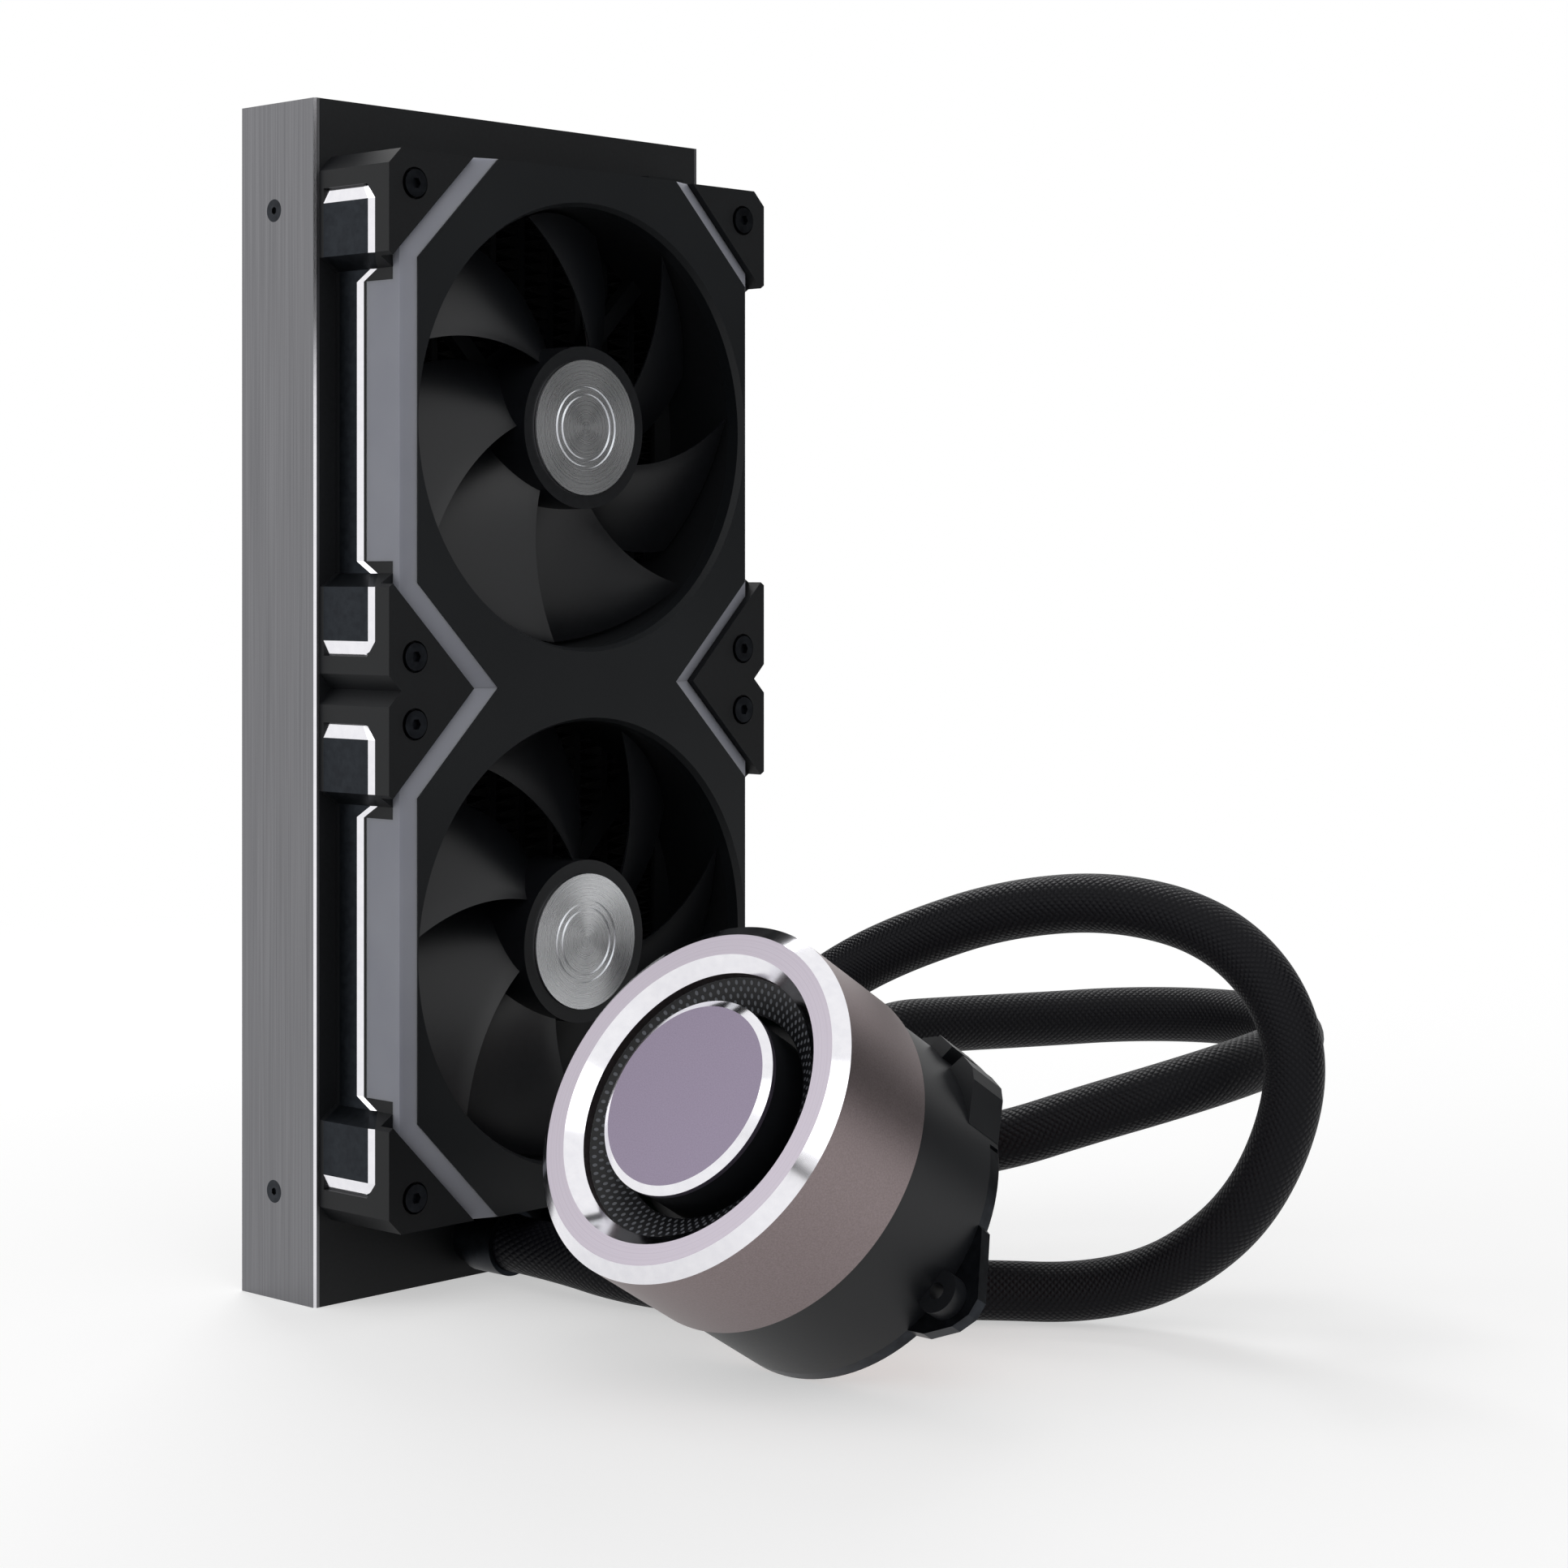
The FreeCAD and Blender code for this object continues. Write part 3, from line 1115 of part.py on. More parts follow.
def plate_screw_places():
    """Where the screws of the cold plate pass its inner face."""
    places = []
    for i in range(PLATE_SCREWS):
        turn = math.radians((i + 0.5) * 360 / PLATE_SCREWS)
        places.append(V(PLATE_SCREW_CIRCLE * math.cos(turn), PLATE_SCREW_CIRCLE * math.sin(turn), -BASE_END))
    return places


def partition():
    """The plate between the impeller and the fins, with the eye that feeds the impeller."""
    back = WET_FLOOR + PARTITION_T
    plate = pump_ring(PARTITION_RADIUS, PARTITION_EYE, WET_FLOOR, back)
    spokes = []
    for i in range(3):
        arm = box(0, PARTITION_EYE + 1, -0.8, 0.8, -back, -WET_FLOOR)
        arm.rotate(V(0, 0, 0), V(0, 0, 1), i * 120)
        spokes.append(arm)
    seat = pump_disc_shape(PUMP_SHAFT_RADIUS + 1, WET_FLOOR, back)
    return fused([plate, seat] + spokes).cut(pump_disc_shape(PUMP_SHAFT_RADIUS, WET_FLOOR, back))


def pump_shaft():
    """The ceramic shaft, fixed in the can and in the partition plate."""
    return pump_disc_shape(PUMP_SHAFT_RADIUS, CAN_TOP + CAN_SKIN, WET_FLOOR + PARTITION_T)


def impeller():
    """The magnet rotor and impeller in one, running on the ceramic shaft."""
    top = CAN_TOP + CAN_WALL + ROTOR_CLEARANCE
    disc_front = DRY_FLOOR + BASE_WALL_T + ROTOR_CLEARANCE
    magnet = pump_disc_shape(CAN_RADIUS - CAN_WALL - ROTOR_CLEARANCE, top, disc_front + IMPELLER_T)
    plate = pump_disc_shape(IMPELLER_RADIUS, disc_front, disc_front + IMPELLER_T)
    vanes = []
    start = PUMP_SHAFT_RADIUS + VANE_START
    for i in range(IMPELLER_VANES):
        vane = box(start, IMPELLER_RADIUS - VANE_END_GAP, -VANE_T / 2, VANE_T / 2,
                   -disc_front - IMPELLER_T - IMPELLER_VANE_H, -disc_front - IMPELLER_T)
        vane.rotate(V(start, 0, 0), V(0, 0, 1), 25)
        vane.rotate(V(0, 0, 0), V(0, 0, 1), i * 360 / IMPELLER_VANES)
        vanes.append(vane)
    body = fused([magnet, plate] + vanes)
    body = body.common(pump_disc_shape(IMPELLER_RADIUS, top, WET_FLOOR))
    return body.cut(pump_disc_shape(PUMP_SHAFT_RADIUS + SHAFT_CLEARANCE, top, WET_FLOOR))


def pump_stator():
    """The wound stator round the rotor can, on the floor of the dry chamber."""
    inner = CAN_RADIUS + PUMP_STATOR_CLEARANCE
    core = stator_core(PUMP_STATOR_RADIUS, inner, PUMP_STATOR_LENGTH, PUMP_STATOR_POLES)
    core.translate(V(0, 0, -DRY_FLOOR))
    return core


def gasket():
    """The seal in its groove between the base and the cold plate."""
    return pump_ring(GASKET_INNER + GASKET_WIDTH, GASKET_INNER, BASE_END - GASKET_DEPTH, BASE_END)


def cold_plate():
    """The copper plate that meets the processor, with a block of fins on its wet side."""
    plate = pump_disc_shape(PLATE_RADIUS, BASE_END, BASE_END + PLATE_T)
    half = PLATE_FIN_SIZE / 2
    pitch = (PLATE_FIN_SIZE - PLATE_FIN_T) / (PLATE_FIN_COUNT - 1)
    fins = []
    for i in range(PLATE_FIN_COUNT):
        left = i * pitch - half
        fins.append(box(left, left + PLATE_FIN_T, -half, half, -BASE_END, PLATE_FIN_H - BASE_END))
    holes = []
    for place in plate_screw_places():
        holes.append(rod(PLATE_SCREW_RADIUS + THREAD_CLEARANCE, place, place - V(0, 0, PLATE_T)))
        holes.append(rod(PLATE_SCREW_HEAD + THREAD_CLEARANCE, place - V(0, 0, PLATE_T - PLATE_SCREW_HEAD_T),
                         place - V(0, 0, PLATE_T)))
    return fused([plate] + fins).cut(holes)


def cold_plate_screws():
    """The screws that close the cold plate onto the base."""
    screws = []
    for place in plate_screw_places():
        back = place - V(0, 0, PLATE_T)
        head = rod(PLATE_SCREW_HEAD, back, back + V(0, 0, PLATE_SCREW_HEAD_T))
        shank = rod(PLATE_SCREW_RADIUS, back, back + V(0, 0, PLATE_SCREW_LENGTH))
        socket = hexagon(PLATE_SCREW_RADIUS * 0.8, back, V(0, 0, 1), PLATE_SCREW_HEAD_T / 2)
        screws.append(fused([head, shank]).cut(socket))
    return Part.makeCompound(screws)


def ring_opening(margin):
    """The sector that the open ring leaves for the flange of the base, narrower by a margin at each end."""
    first, last = RING_OPENING
    middle = (first + last) / 2
    reach = 3 * BASE_RADIUS
    corners = [V(0, 0, -BASE_END)]
    for angle in (first - margin, middle, last + margin):
        turn = math.radians(angle)
        corners.append(V(reach * math.sin(turn), reach * math.cos(turn), -BASE_END))
    return prism(corners, V(0, 0, BASE_END))


def bracket_ring():
    """The open steel ring in its groove round the base, with two ears for the processor bracket."""
    inner = BASE_RADIUS - RING_SEAT_DEPTH + RING_CLEARANCE
    front = RING_BACK - RING_T
    ring = pump_ring(BASE_RADIUS, inner, front, RING_BACK).cut(ring_opening(RING_END_GAP))
    ears = both_ears(pump_prism(EAR_OUTLINE, EAR_OUT, front, RING_BACK))
    holes = both_ears(ear_rod(EAR_HOLE_RADIUS, front, RING_BACK))
    return fused([ring] + ears).cut(holes + [pump_disc_shape(inner, front, RING_BACK)])


def build_pump():
    """Write the nodes of the pump head."""
    shapes = {
        "pump_cap": pump_cap(),
        "pump_mesh_ring": mesh_ring(),
        "pump_well": pump_well(),
        "pump_centre_disc": pump_disc(),
        "pump_light_board": light_board(),
        "pump_base": pump_base(),
        "pump_partition": partition(),
        "pump_shaft": pump_shaft(),
        "pump_impeller": impeller(),
        "pump_stator": pump_stator(),
        "pump_gasket": gasket(),
        "pump_cold_plate": cold_plate(),
        "pump_cold_plate_screws": cold_plate_screws(),
        "pump_bracket_ring": bracket_ring(),
    }
    for name, shape in shapes.items():
        save(name, place_pump(shape))
    save("pump_upper_elbow", elbow(UPPER_ELBOW_ANGLE, UPPER_HOSE_AIM))
    save("pump_lower_elbow", elbow(LOWER_ELBOW_ANGLE, LOWER_HOSE_AIM))


def build_radiator():
    """Write the nodes of the radiator."""
    save("bottom_tank", bottom_tank())
    save("top_tank", top_tank())
    save("coolant_tubes", coolant_tubes())
    save("cooling_fins", cooling_fins())
    save("left_channel", channel(-1))
    save("right_channel", channel(1))
    save("left_side_plate", side_plate(-1))
    save("right_side_plate", side_plate(1))
    save("side_plate_screws", side_plate_screws())
    save("fill_plug", fill_plug())
    save("radiator_barbs", radiator_barbs())


def main():
    """Write every node of the cooler."""
    os.makedirs("parts", exist_ok=True)
    build_radiator()
    for name, hub, turn in zip(("lower_fan", "upper_fan"), fan_hubs(), (LOWER_ROTOR_TURN, 0.0)):
        build_fan(name, hub, turn)
    build_pump()
    save("hose_collars", hose_collars())
    for name, points in zip(("hose_1", "hose_2"), hose_routes()):
        save(name, hose(name, points))


main()
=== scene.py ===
"""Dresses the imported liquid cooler: finishes for its metal, plastic and woven pieces, and the fine forms."""
import logging
import math
from dataclasses import dataclass, field
from enum import Enum

import bmesh
import bpy
from mathutils import Matrix, Vector


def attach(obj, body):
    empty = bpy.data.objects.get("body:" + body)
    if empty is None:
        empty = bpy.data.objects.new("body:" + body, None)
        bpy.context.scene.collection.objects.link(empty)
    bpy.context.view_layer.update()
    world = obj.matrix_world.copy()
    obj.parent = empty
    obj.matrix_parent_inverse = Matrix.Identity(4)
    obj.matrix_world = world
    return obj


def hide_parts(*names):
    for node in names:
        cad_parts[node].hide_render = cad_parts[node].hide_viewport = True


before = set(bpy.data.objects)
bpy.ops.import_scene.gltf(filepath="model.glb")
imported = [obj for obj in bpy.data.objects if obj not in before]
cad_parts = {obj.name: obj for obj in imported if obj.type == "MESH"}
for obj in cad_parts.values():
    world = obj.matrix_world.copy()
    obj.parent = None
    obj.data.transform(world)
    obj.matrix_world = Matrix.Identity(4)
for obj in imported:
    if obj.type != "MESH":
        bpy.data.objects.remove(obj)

log = logging.getLogger("cooler")
MM = 0.001
SHARP_BEND_DEG = 32.0
FINE_BEND_DEG = 20.0
EDGE_MM = 0.1
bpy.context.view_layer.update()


# Shared helpers

def linear(colour: str) -> tuple[float, float, float, float]:
    """Turns an sRGB hex colour into linear light.

    Args:
        colour: six hex digits, with or without a leading #.

    Returns:
        Red, green, blue and an alpha of 1.
    """
    digits = colour.lstrip("#")
    channels = [int(digits[i:i + 2], 16) / 255 for i in (0, 2, 4)]
    light = [c / 12.92 if c <= 0.04045 else ((c + 0.055) / 1.055) ** 2.4 for c in channels]
    return (light[0], light[1], light[2], 1.0)


def add_node(tree: bpy.types.NodeTree, kind: str, values: dict | None = None,
             links: dict | None = None, **settings: object) -> bpy.types.Node:
    """Adds one node, with its settings, socket values and incoming links.

    Args:
        tree: the node tree that the node goes into.
        kind: the node's type, such as ShaderNodeMath.
        values: socket name or number to a fixed value.
        links: socket name or number to the output socket that feeds it.
        settings: attributes of the node itself.

    Returns:
        The new node.
    """
    node = tree.nodes.new(kind)
    for name, setting in settings.items():
        setattr(node, name, setting)
    for socket, value in (values or {}).items():
        node.inputs[socket].default_value = value
    for socket, source in (links or {}).items():
        tree.links.new(source, node.inputs[socket])
    return node


class Grain(Enum):
    """How a metal surface was finished."""

    SATIN = "satin"
    LENGTHWISE = "brushed lengthwise"
    SPUN = "turned on a lathe"
    BLASTED = "bead blasted"
    POLISHED = "cut with a diamond and left bright"


@dataclass(frozen=True)
class Finish:
    """A finish: a real material and how its surface was made."""

    name: str
    colour: str
    roughness: float = 0.5
    axis_place: Matrix | None = field(default=None, kw_only=True)

    def local(self, tree: bpy.types.NodeTree) -> bpy.types.NodeSocket:
        """Adds the place on the object, seen from the piece's own axis where it has one.

        Args:
            tree: the material's node tree.

        Returns:
            The place, in metres.
        """
        place = add_node(tree, "ShaderNodeTexCoord").outputs["Object"]
        if self.axis_place is None:
            return place
        values = {"Location": self.axis_place.to_translation(), "Rotation": self.axis_place.to_euler()}
        return add_node(tree, "ShaderNodeMapping", values, {"Vector": place},
                        vector_type="TEXTURE").outputs[0]

    def start(self) -> tuple[bpy.types.Material, bpy.types.NodeTree, bpy.types.Node]:
        """Makes the material with its shader.

        Returns:
            The material, its node tree and its Principled shader.
        """
        material = bpy.data.materials.new(self.name)
        material.use_nodes = True
        tree = material.node_tree
        shader = tree.nodes["Principled BSDF"]
        shader.inputs["Base Color"].default_value = linear(self.colour)
        shader.inputs["Roughness"].default_value = self.roughness
        material.diffuse_color = linear(self.colour)
        return material, tree, shader

    def vary(self, tree: bpy.types.NodeTree, shader: bpy.types.Node, marks: bpy.types.NodeSocket,
             other: str, spread: float, span: tuple[float, float] = (0.3, 0.7)) -> None:
        """Lets a pattern shift the colour and the gloss a little.

        Args:
            tree: the material's node tree.
            shader: its Principled shader.
            marks: the pattern, from 0 to 1.
            other: the hex colour at the pattern's high end.
            spread: how much the roughness changes over the pattern.
            span: the pattern's values that count as its low and high ends.
        """
        share = add_node(tree, "ShaderNodeMapRange", {"From Min": span[0], "From Max": span[1]},
                         {"Value": marks})
        tone = add_node(tree, "ShaderNodeMix", {"A": linear(self.colour), "B": linear(other)},
                        {"Factor": share.outputs["Result"]}, data_type="RGBA")
        tree.links.new(tone.outputs["Result"], shader.inputs["Base Color"])
        gloss = add_node(tree, "ShaderNodeMapRange",
                         {"To Min": self.roughness - spread / 2, "To Max": self.roughness + spread / 2},
                         {"Value": marks})
        tree.links.new(gloss.outputs["Result"], shader.inputs["Roughness"])

    def material(self) -> bpy.types.Material:
        """Returns the finished material."""
        return self.start()[0]


@dataclass(frozen=True)
class Moulding(Finish):
    """Injection moulded plastic or lacquer: a fine texture and a soft, low gloss."""

    grain_mm: float = 0.7
    variation: str = "#1a1c20"
    bump: float = 0.12
    specular: float = 0.3
    cloud_scale: float = 22.0
    gloss_spread: float = 0.14

    def material(self) -> bpy.types.Material:
        """Returns moulded plastic with its mould texture and a faint cloudy tone."""
        material, tree, shader = self.start()
        place = add_node(tree, "ShaderNodeTexCoord").outputs["Object"]
        grit = add_node(tree, "ShaderNodeTexNoise", {"Scale": 1000 / self.grain_mm, "Detail": 3.0},
                        {"Vector": place})
        cloud = add_node(tree, "ShaderNodeTexNoise", {"Scale": self.cloud_scale, "Detail": 2.0},
                         {"Vector": place})
        both = add_node(tree, "ShaderNodeMath", operation="ADD",
                        links={0: grit.outputs["Fac"], 1: cloud.outputs["Fac"]})
        half = add_node(tree, "ShaderNodeMath", {1: 0.5}, {0: both.outputs[0]}, operation="MULTIPLY")
        self.vary(tree, shader, half.outputs[0], self.variation, self.gloss_spread)
        relief = add_node(tree, "ShaderNodeBump", {"Strength": self.bump, "Distance": 0.0001},
                          {"Height": grit.outputs["Fac"]})
        tree.links.new(relief.outputs["Normal"], shader.inputs["Normal"])
        shader.inputs["Specular IOR Level"].default_value = self.specular
        return material


@dataclass(frozen=True)
class Metal(Finish):
    """Bare or anodised metal, in the grain that its last working left."""

    grain: Grain = Grain.SATIN
    variation: str = "#808080"
    line_mm: float = 0.5
    anisotropy: float = 0.0
    axis: str = "Z"
    streak: float = 160.0
    spun_pieces_per_metre: float = 30.0

    def material(self) -> bpy.types.Material:
        """Returns the metal with grain lines, grit or a bright cut."""
        material, tree, shader = self.start()
        shader.inputs["Metallic"].default_value = 1.0
        marks = self.marks(tree)
        spread = {Grain.POLISHED: 0.02, Grain.SATIN: 0.08, Grain.SPUN: 0.1}.get(self.grain, 0.16)
        self.vary(tree, shader, marks, self.variation, spread)
        if self.grain is not Grain.POLISHED:
            strength = 0.3 if self.grain is Grain.BLASTED else 0.12
            relief = add_node(tree, "ShaderNodeBump", {"Strength": strength, "Distance": 0.00005},
                              {"Height": marks})
            tree.links.new(relief.outputs["Normal"], shader.inputs["Normal"])
        if self.anisotropy:
            shader.inputs["Anisotropic"].default_value = self.anisotropy
            tangent = add_node(tree, "ShaderNodeTangent", direction_type="RADIAL", axis=self.axis)
            tree.links.new(tangent.outputs[0], shader.inputs["Tangent"])
        return material

    def marks(self, tree: bpy.types.NodeTree) -> bpy.types.NodeSocket:
        """Adds the marks that the last working left.

        Args:
            tree: the material's node tree.

        Returns:
            A value from 0 to 1.
        """
        place = self.local(tree)
        fine = 1000 / self.line_mm
        if self.grain is Grain.LENGTHWISE:
            stretch = add_node(tree, "ShaderNodeMapping", {"Scale": (fine, fine, fine / self.streak)},
                               {"Vector": place})
            return add_node(tree, "ShaderNodeTexNoise", {"Scale": 1.0, "Detail": 4.0},
                            {"Vector": stretch.outputs[0]}).outputs["Fac"]
        if self.grain is Grain.SPUN:
            if self.axis_place is None:
                # Generated runs from 0 to 1 over the whole piece, so the lines are counted per piece.
                whole = add_node(tree, "ShaderNodeTexCoord").outputs["Generated"]
                place = add_node(tree, "ShaderNodeVectorMath", {1: (0.5, 0.5, 0.5)}, {0: whole},
                                 operation="SUBTRACT").outputs[0]
                fine = fine / self.spun_pieces_per_metre
            flat = (1, 0, 1) if self.axis == "Y" else (1, 1, 0)
            disc = add_node(tree, "ShaderNodeVectorMath", {1: flat}, {0: place}, operation="MULTIPLY")
            radius = add_node(tree, "ShaderNodeVectorMath", links={0: disc.outputs[0]}, operation="LENGTH")
            return add_node(tree, "ShaderNodeTexNoise", {"Scale": fine, "Detail": 3.0},
                            {"W": radius.outputs["Value"]}, noise_dimensions="1D").outputs["Fac"]
        scale = fine if self.grain is Grain.BLASTED else fine / 4
        return add_node(tree, "ShaderNodeTexNoise", {"Scale": scale, "Detail": 2.0},
                        {"Vector": place}).outputs["Fac"]


@dataclass(frozen=True)
class FrostedGuide(Finish):
    """Frosted polycarbonate: milky, it scatters light inside and shows no sharp reflection."""

    haze: str = "#9ea0a9"
    depth_mm: float = 3.0
    haze_scale: float = 45.0
    grit_scale: float = 1800.0
    scatter: float = 0.5

    def material(self) -> bpy.types.Material:
        """Returns the milky light guide."""
        material, tree, shader = self.start()
        place = add_node(tree, "ShaderNodeTexCoord").outputs["Object"]
        haze = add_node(tree, "ShaderNodeTexNoise", {"Scale": self.haze_scale, "Detail": 2.0},
                        {"Vector": place}).outputs["Fac"]
        self.vary(tree, shader, haze, self.haze, 0.06)
        grit = add_node(tree, "ShaderNodeTexNoise", {"Scale": self.grit_scale, "Detail": 1.0},
                        {"Vector": place}).outputs["Fac"]
        relief = add_node(tree, "ShaderNodeBump", {"Strength": 0.08, "Distance": 0.00005}, {"Height": grit})
        tree.links.new(relief.outputs["Normal"], shader.inputs["Normal"])
        shader.inputs["Subsurface Weight"].default_value = self.scatter
        shader.inputs["Subsurface Scale"].default_value = self.depth_mm * MM
        shader.inputs["Subsurface Radius"].default_value = (1.0, 1.0, 1.15)
        shader.inputs["Specular IOR Level"].default_value = 0.3
        return material


@dataclass(frozen=True)
class Perforated(Finish):
    """Black lacquered steel with rings of small punched holes; the holes are painted pale grey, a painted
    highlight for their bright rims.
    """

    # The holes' pale colour is a painted highlight for their bright rims.
    painted_rim_highlight: str = "#6d7076"
    holes_round: int = 84
    row_mm: float = 1.15
    hole_edge: tuple[float, float] = (0.24, 0.3)

    def material(self) -> bpy.types.Material:
        """Returns the lacquer with staggered rows of holes round the axis, the holes painted pale as a painted
        highlight.
        """
        material, tree, shader = self.start()
        local = self.local(tree)
        turn = add_node(tree, "ShaderNodeTexGradient", links={"Vector": local},
                        gradient_type="RADIAL").outputs["Fac"]
        flat = add_node(tree, "ShaderNodeVectorMath", {1: (1, 1, 0)}, {0: local},
                        operation="MULTIPLY").outputs[0]
        radius = add_node(tree, "ShaderNodeVectorMath", links={0: flat}, operation="LENGTH").outputs["Value"]
        polar = add_node(tree, "ShaderNodeCombineXYZ", links={"X": turn, "Y": radius}).outputs[0]
        # A square grid turned by 45 degrees gives rows that are staggered by half a hole.
        scale = (math.sqrt(2) * self.holes_round, 1000 / (math.sqrt(2) * self.row_mm), 1)
        grid = add_node(tree, "ShaderNodeMapping", {"Scale": scale, "Rotation": (0, 0, math.pi / 4)},
                        {"Vector": polar})
        cell = add_node(tree, "ShaderNodeTexVoronoi", {"Scale": 1.0, "Randomness": 0.0},
                        {"Vector": grid.outputs[0]}, voronoi_dimensions="2D").outputs["Distance"]
        steel = add_node(tree, "ShaderNodeMapRange",
                         {"From Min": self.hole_edge[0], "From Max": self.hole_edge[1]}, {"Value": cell})
        # Where the mask falls to 0, the hole takes the pale painted highlight.
        tone = add_node(tree, "ShaderNodeMix", {"A": linear(self.painted_rim_highlight), "B": linear(self.colour)},
                        {"Factor": steel.outputs["Result"]}, data_type="RGBA")
        tree.links.new(tone.outputs["Result"], shader.inputs["Base Color"])
        relief = add_node(tree, "ShaderNodeBump", {"Strength": 0.5, "Distance": 0.0003},
                          {"Height": steel.outputs["Result"]})
        tree.links.new(relief.outputs["Normal"], shader.inputs["Normal"])
        shader.inputs["Specular IOR Level"].default_value = 0.35
        return material


@dataclass(frozen=True)
class WovenSleeve(Finish):
    """Black nylon braid drawn over rubber hose: crossing bundles of yarn with a dull sheen; the crests are
    glossier and carry a painted glint in their colour.
    """

    length_mm: float = 400.0
    bundles: int = 24
    lay_mm: float = 40.0
    # Colour at the crests: a painted glint, a little lighter than the yarn.
    painted_crest_glint: str = "#101015"
    crest_gloss: float = 0.12

    def material(self) -> bpy.types.Material:
        """Returns the braid: two sets of bundles that wind round the hose in opposite directions."""
        material, tree, shader = self.start()
        place = add_node(tree, "ShaderNodeTexCoord").outputs["UV"]
        turns = self.length_mm / self.lay_mm * self.bundles
        split = add_node(tree, "ShaderNodeSeparateXYZ", links={0: place})
        along = add_node(tree, "ShaderNodeMath", {1: turns}, {0: split.outputs[0]},
                         operation="MULTIPLY").outputs[0]
        around = add_node(tree, "ShaderNodeMath", {1: float(self.bundles)}, {0: split.outputs[1]},
                          operation="MULTIPLY").outputs[0]
        waves = []
        for operation in ("ADD", "SUBTRACT"):
            wind = add_node(tree, "ShaderNodeMath", links={0: around, 1: along},
                            operation=operation).outputs[0]
            phase = add_node(tree, "ShaderNodeMath", {1: math.pi}, {0: wind}, operation="MULTIPLY").outputs[0]
            waves.append(add_node(tree, "ShaderNodeMath", links={0: phase}, operation="SINE").outputs[0])
        cross = add_node(tree, "ShaderNodeMath", links={0: waves[0], 1: waves[1]},
                         operation="MULTIPLY").outputs[0]
        height = add_node(tree, "ShaderNodeMath", links={0: cross}, operation="ABSOLUTE").outputs[0]
        # The crests are worn smoother than the hollows, so there the roughness falls; their colour is also
        # lifted a little as a painted glint.
        self.vary(tree, shader, height, self.painted_crest_glint, -self.crest_gloss, (0.35, 1.0))
        relief = add_node(tree, "ShaderNodeBump", {"Strength": 0.6, "Distance": 0.0003}, {"Height": height})
        tree.links.new(relief.outputs["Normal"], shader.inputs["Normal"])
        shader.inputs["Specular IOR Level"].default_value = 0.15
        return material


def dress(piece: bpy.types.Object, material: bpy.types.Material) -> None:
    """Gives a whole piece one material.

    Args:
        piece: the object to dress.
        material: its finish.
    """
    piece.data.materials.clear()
    piece.data.materials.append(material)
    for polygon in piece.data.polygons:
        polygon.material_index = 0


def soften(piece: bpy.types.Object, width_mm: float, angle: float = SHARP_BEND_DEG) -> None:
    """Breaks the sharp edges of a piece and smooths its curved faces.

    Args:
        piece: the mesh object.
        width_mm: how far each edge is cut back.
        angle: the bend in degrees from which an edge counts as sharp.
    """
    smooth(piece, angle)
    if width_mm > 0:
        bevel = piece.modifiers.new("broken_edges", "BEVEL")
        bevel.width = width_mm * MM
        bevel.segments = 2
        bevel.limit_method = "ANGLE"
        bevel.angle_limit = math.radians(angle)
        bevel.use_clamp_overlap = True
        bevel.harden_normals = True


def smooth(piece: bpy.types.Object, angle: float = SHARP_BEND_DEG) -> None:
    """Smooths the shading of a mesh, but leaves its real edges sharp.

    Args:
        piece: the mesh object.
        angle: the bend in degrees from which an edge stays sharp.
    """
    mesh = piece.data
    mesh.shade_smooth()
    mesh.set_sharp_from_angle(angle=math.radians(angle))


def new_piece(name: str, mesh: bpy.types.Mesh, body: str, nodes: tuple[str, ...]) -> bpy.types.Object:
    """Makes a piece of the model that rides on a body.

    Args:
        name: the piece's name.
        mesh: its mesh.
        body: the body that carries it.
        nodes: the nodes that it stands for.

    Returns:
        The new object.
    """
    piece = bpy.data.objects.new(name, mesh)
    bpy.context.scene.collection.objects.link(piece)
    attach(piece, body)
    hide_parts(*nodes)
    return piece


def turned_mesh(name: str, profile: list[tuple[float, float]], segments: int = 192) -> bpy.types.Mesh:
    """Turns a closed outline about Z.

    Args:
        name: the mesh's name.
        profile: radius and depth below the origin of each point, in millimetres.
        segments: the number of steps round the axis.

    Returns:
        The mesh, in metres.
    """
    shape = bmesh.new()
    rings = []
    for radius, depth in profile:
        if not radius:
            rings.append([shape.verts.new((0, 0, -depth * MM))] * segments)
            continue
        turns = [math.tau * i / segments for i in range(segments)]
        rings.append([shape.verts.new((radius * MM * math.cos(t), radius * MM * math.sin(t), -depth * MM))
                      for t in turns])
    for first, second in zip(rings, rings[1:] + rings[:1]):
        for i in range(segments):
            j = (i + 1) % segments
            corners = list(dict.fromkeys((first[i], first[j], second[j], second[i])))
            if len(corners) > 2:
                shape.faces.new(corners)
    bmesh.ops.recalc_face_normals(shape, faces=shape.faces)
    mesh = bpy.data.meshes.new(name)
    shape.to_mesh(mesh)
    shape.free()
    return mesh


# The cooler

def pump_place(tilt_deg: float = 31.0, face_x_mm: float = -63.8, face_y_mm: float = -133.4,
               length_mm: float = 57.0, base_mm: float = 37.2) -> Matrix:
    """Finds the place of the pump head: origin in the middle of its face, Z out of the face.

    Args:
        tilt_deg: how far the face is tipped up.
        face_x_mm: where the middle of the face lies along X.
        face_y_mm: where it lies along Y.
        length_mm: the head's length from its face to its base.
        base_mm: the half width of the base that it lies on.

    Returns:
        The head's frame, in metres.
    """
    tilt = math.radians(tilt_deg)
    axis = Vector((-math.cos(tilt), 0, math.sin(tilt)))
    up = Vector((math.sin(tilt), 0, math.cos(tilt)))
    height = length_mm * math.sin(tilt) + base_mm * math.cos(tilt)
    spot = Vector((face_x_mm, face_y_mm, height)) * MM
    return Matrix.Translation(spot) @ Matrix((up, axis.cross(up), axis)).transposed().to_4x4()


PUMP_PLACE = pump_place()


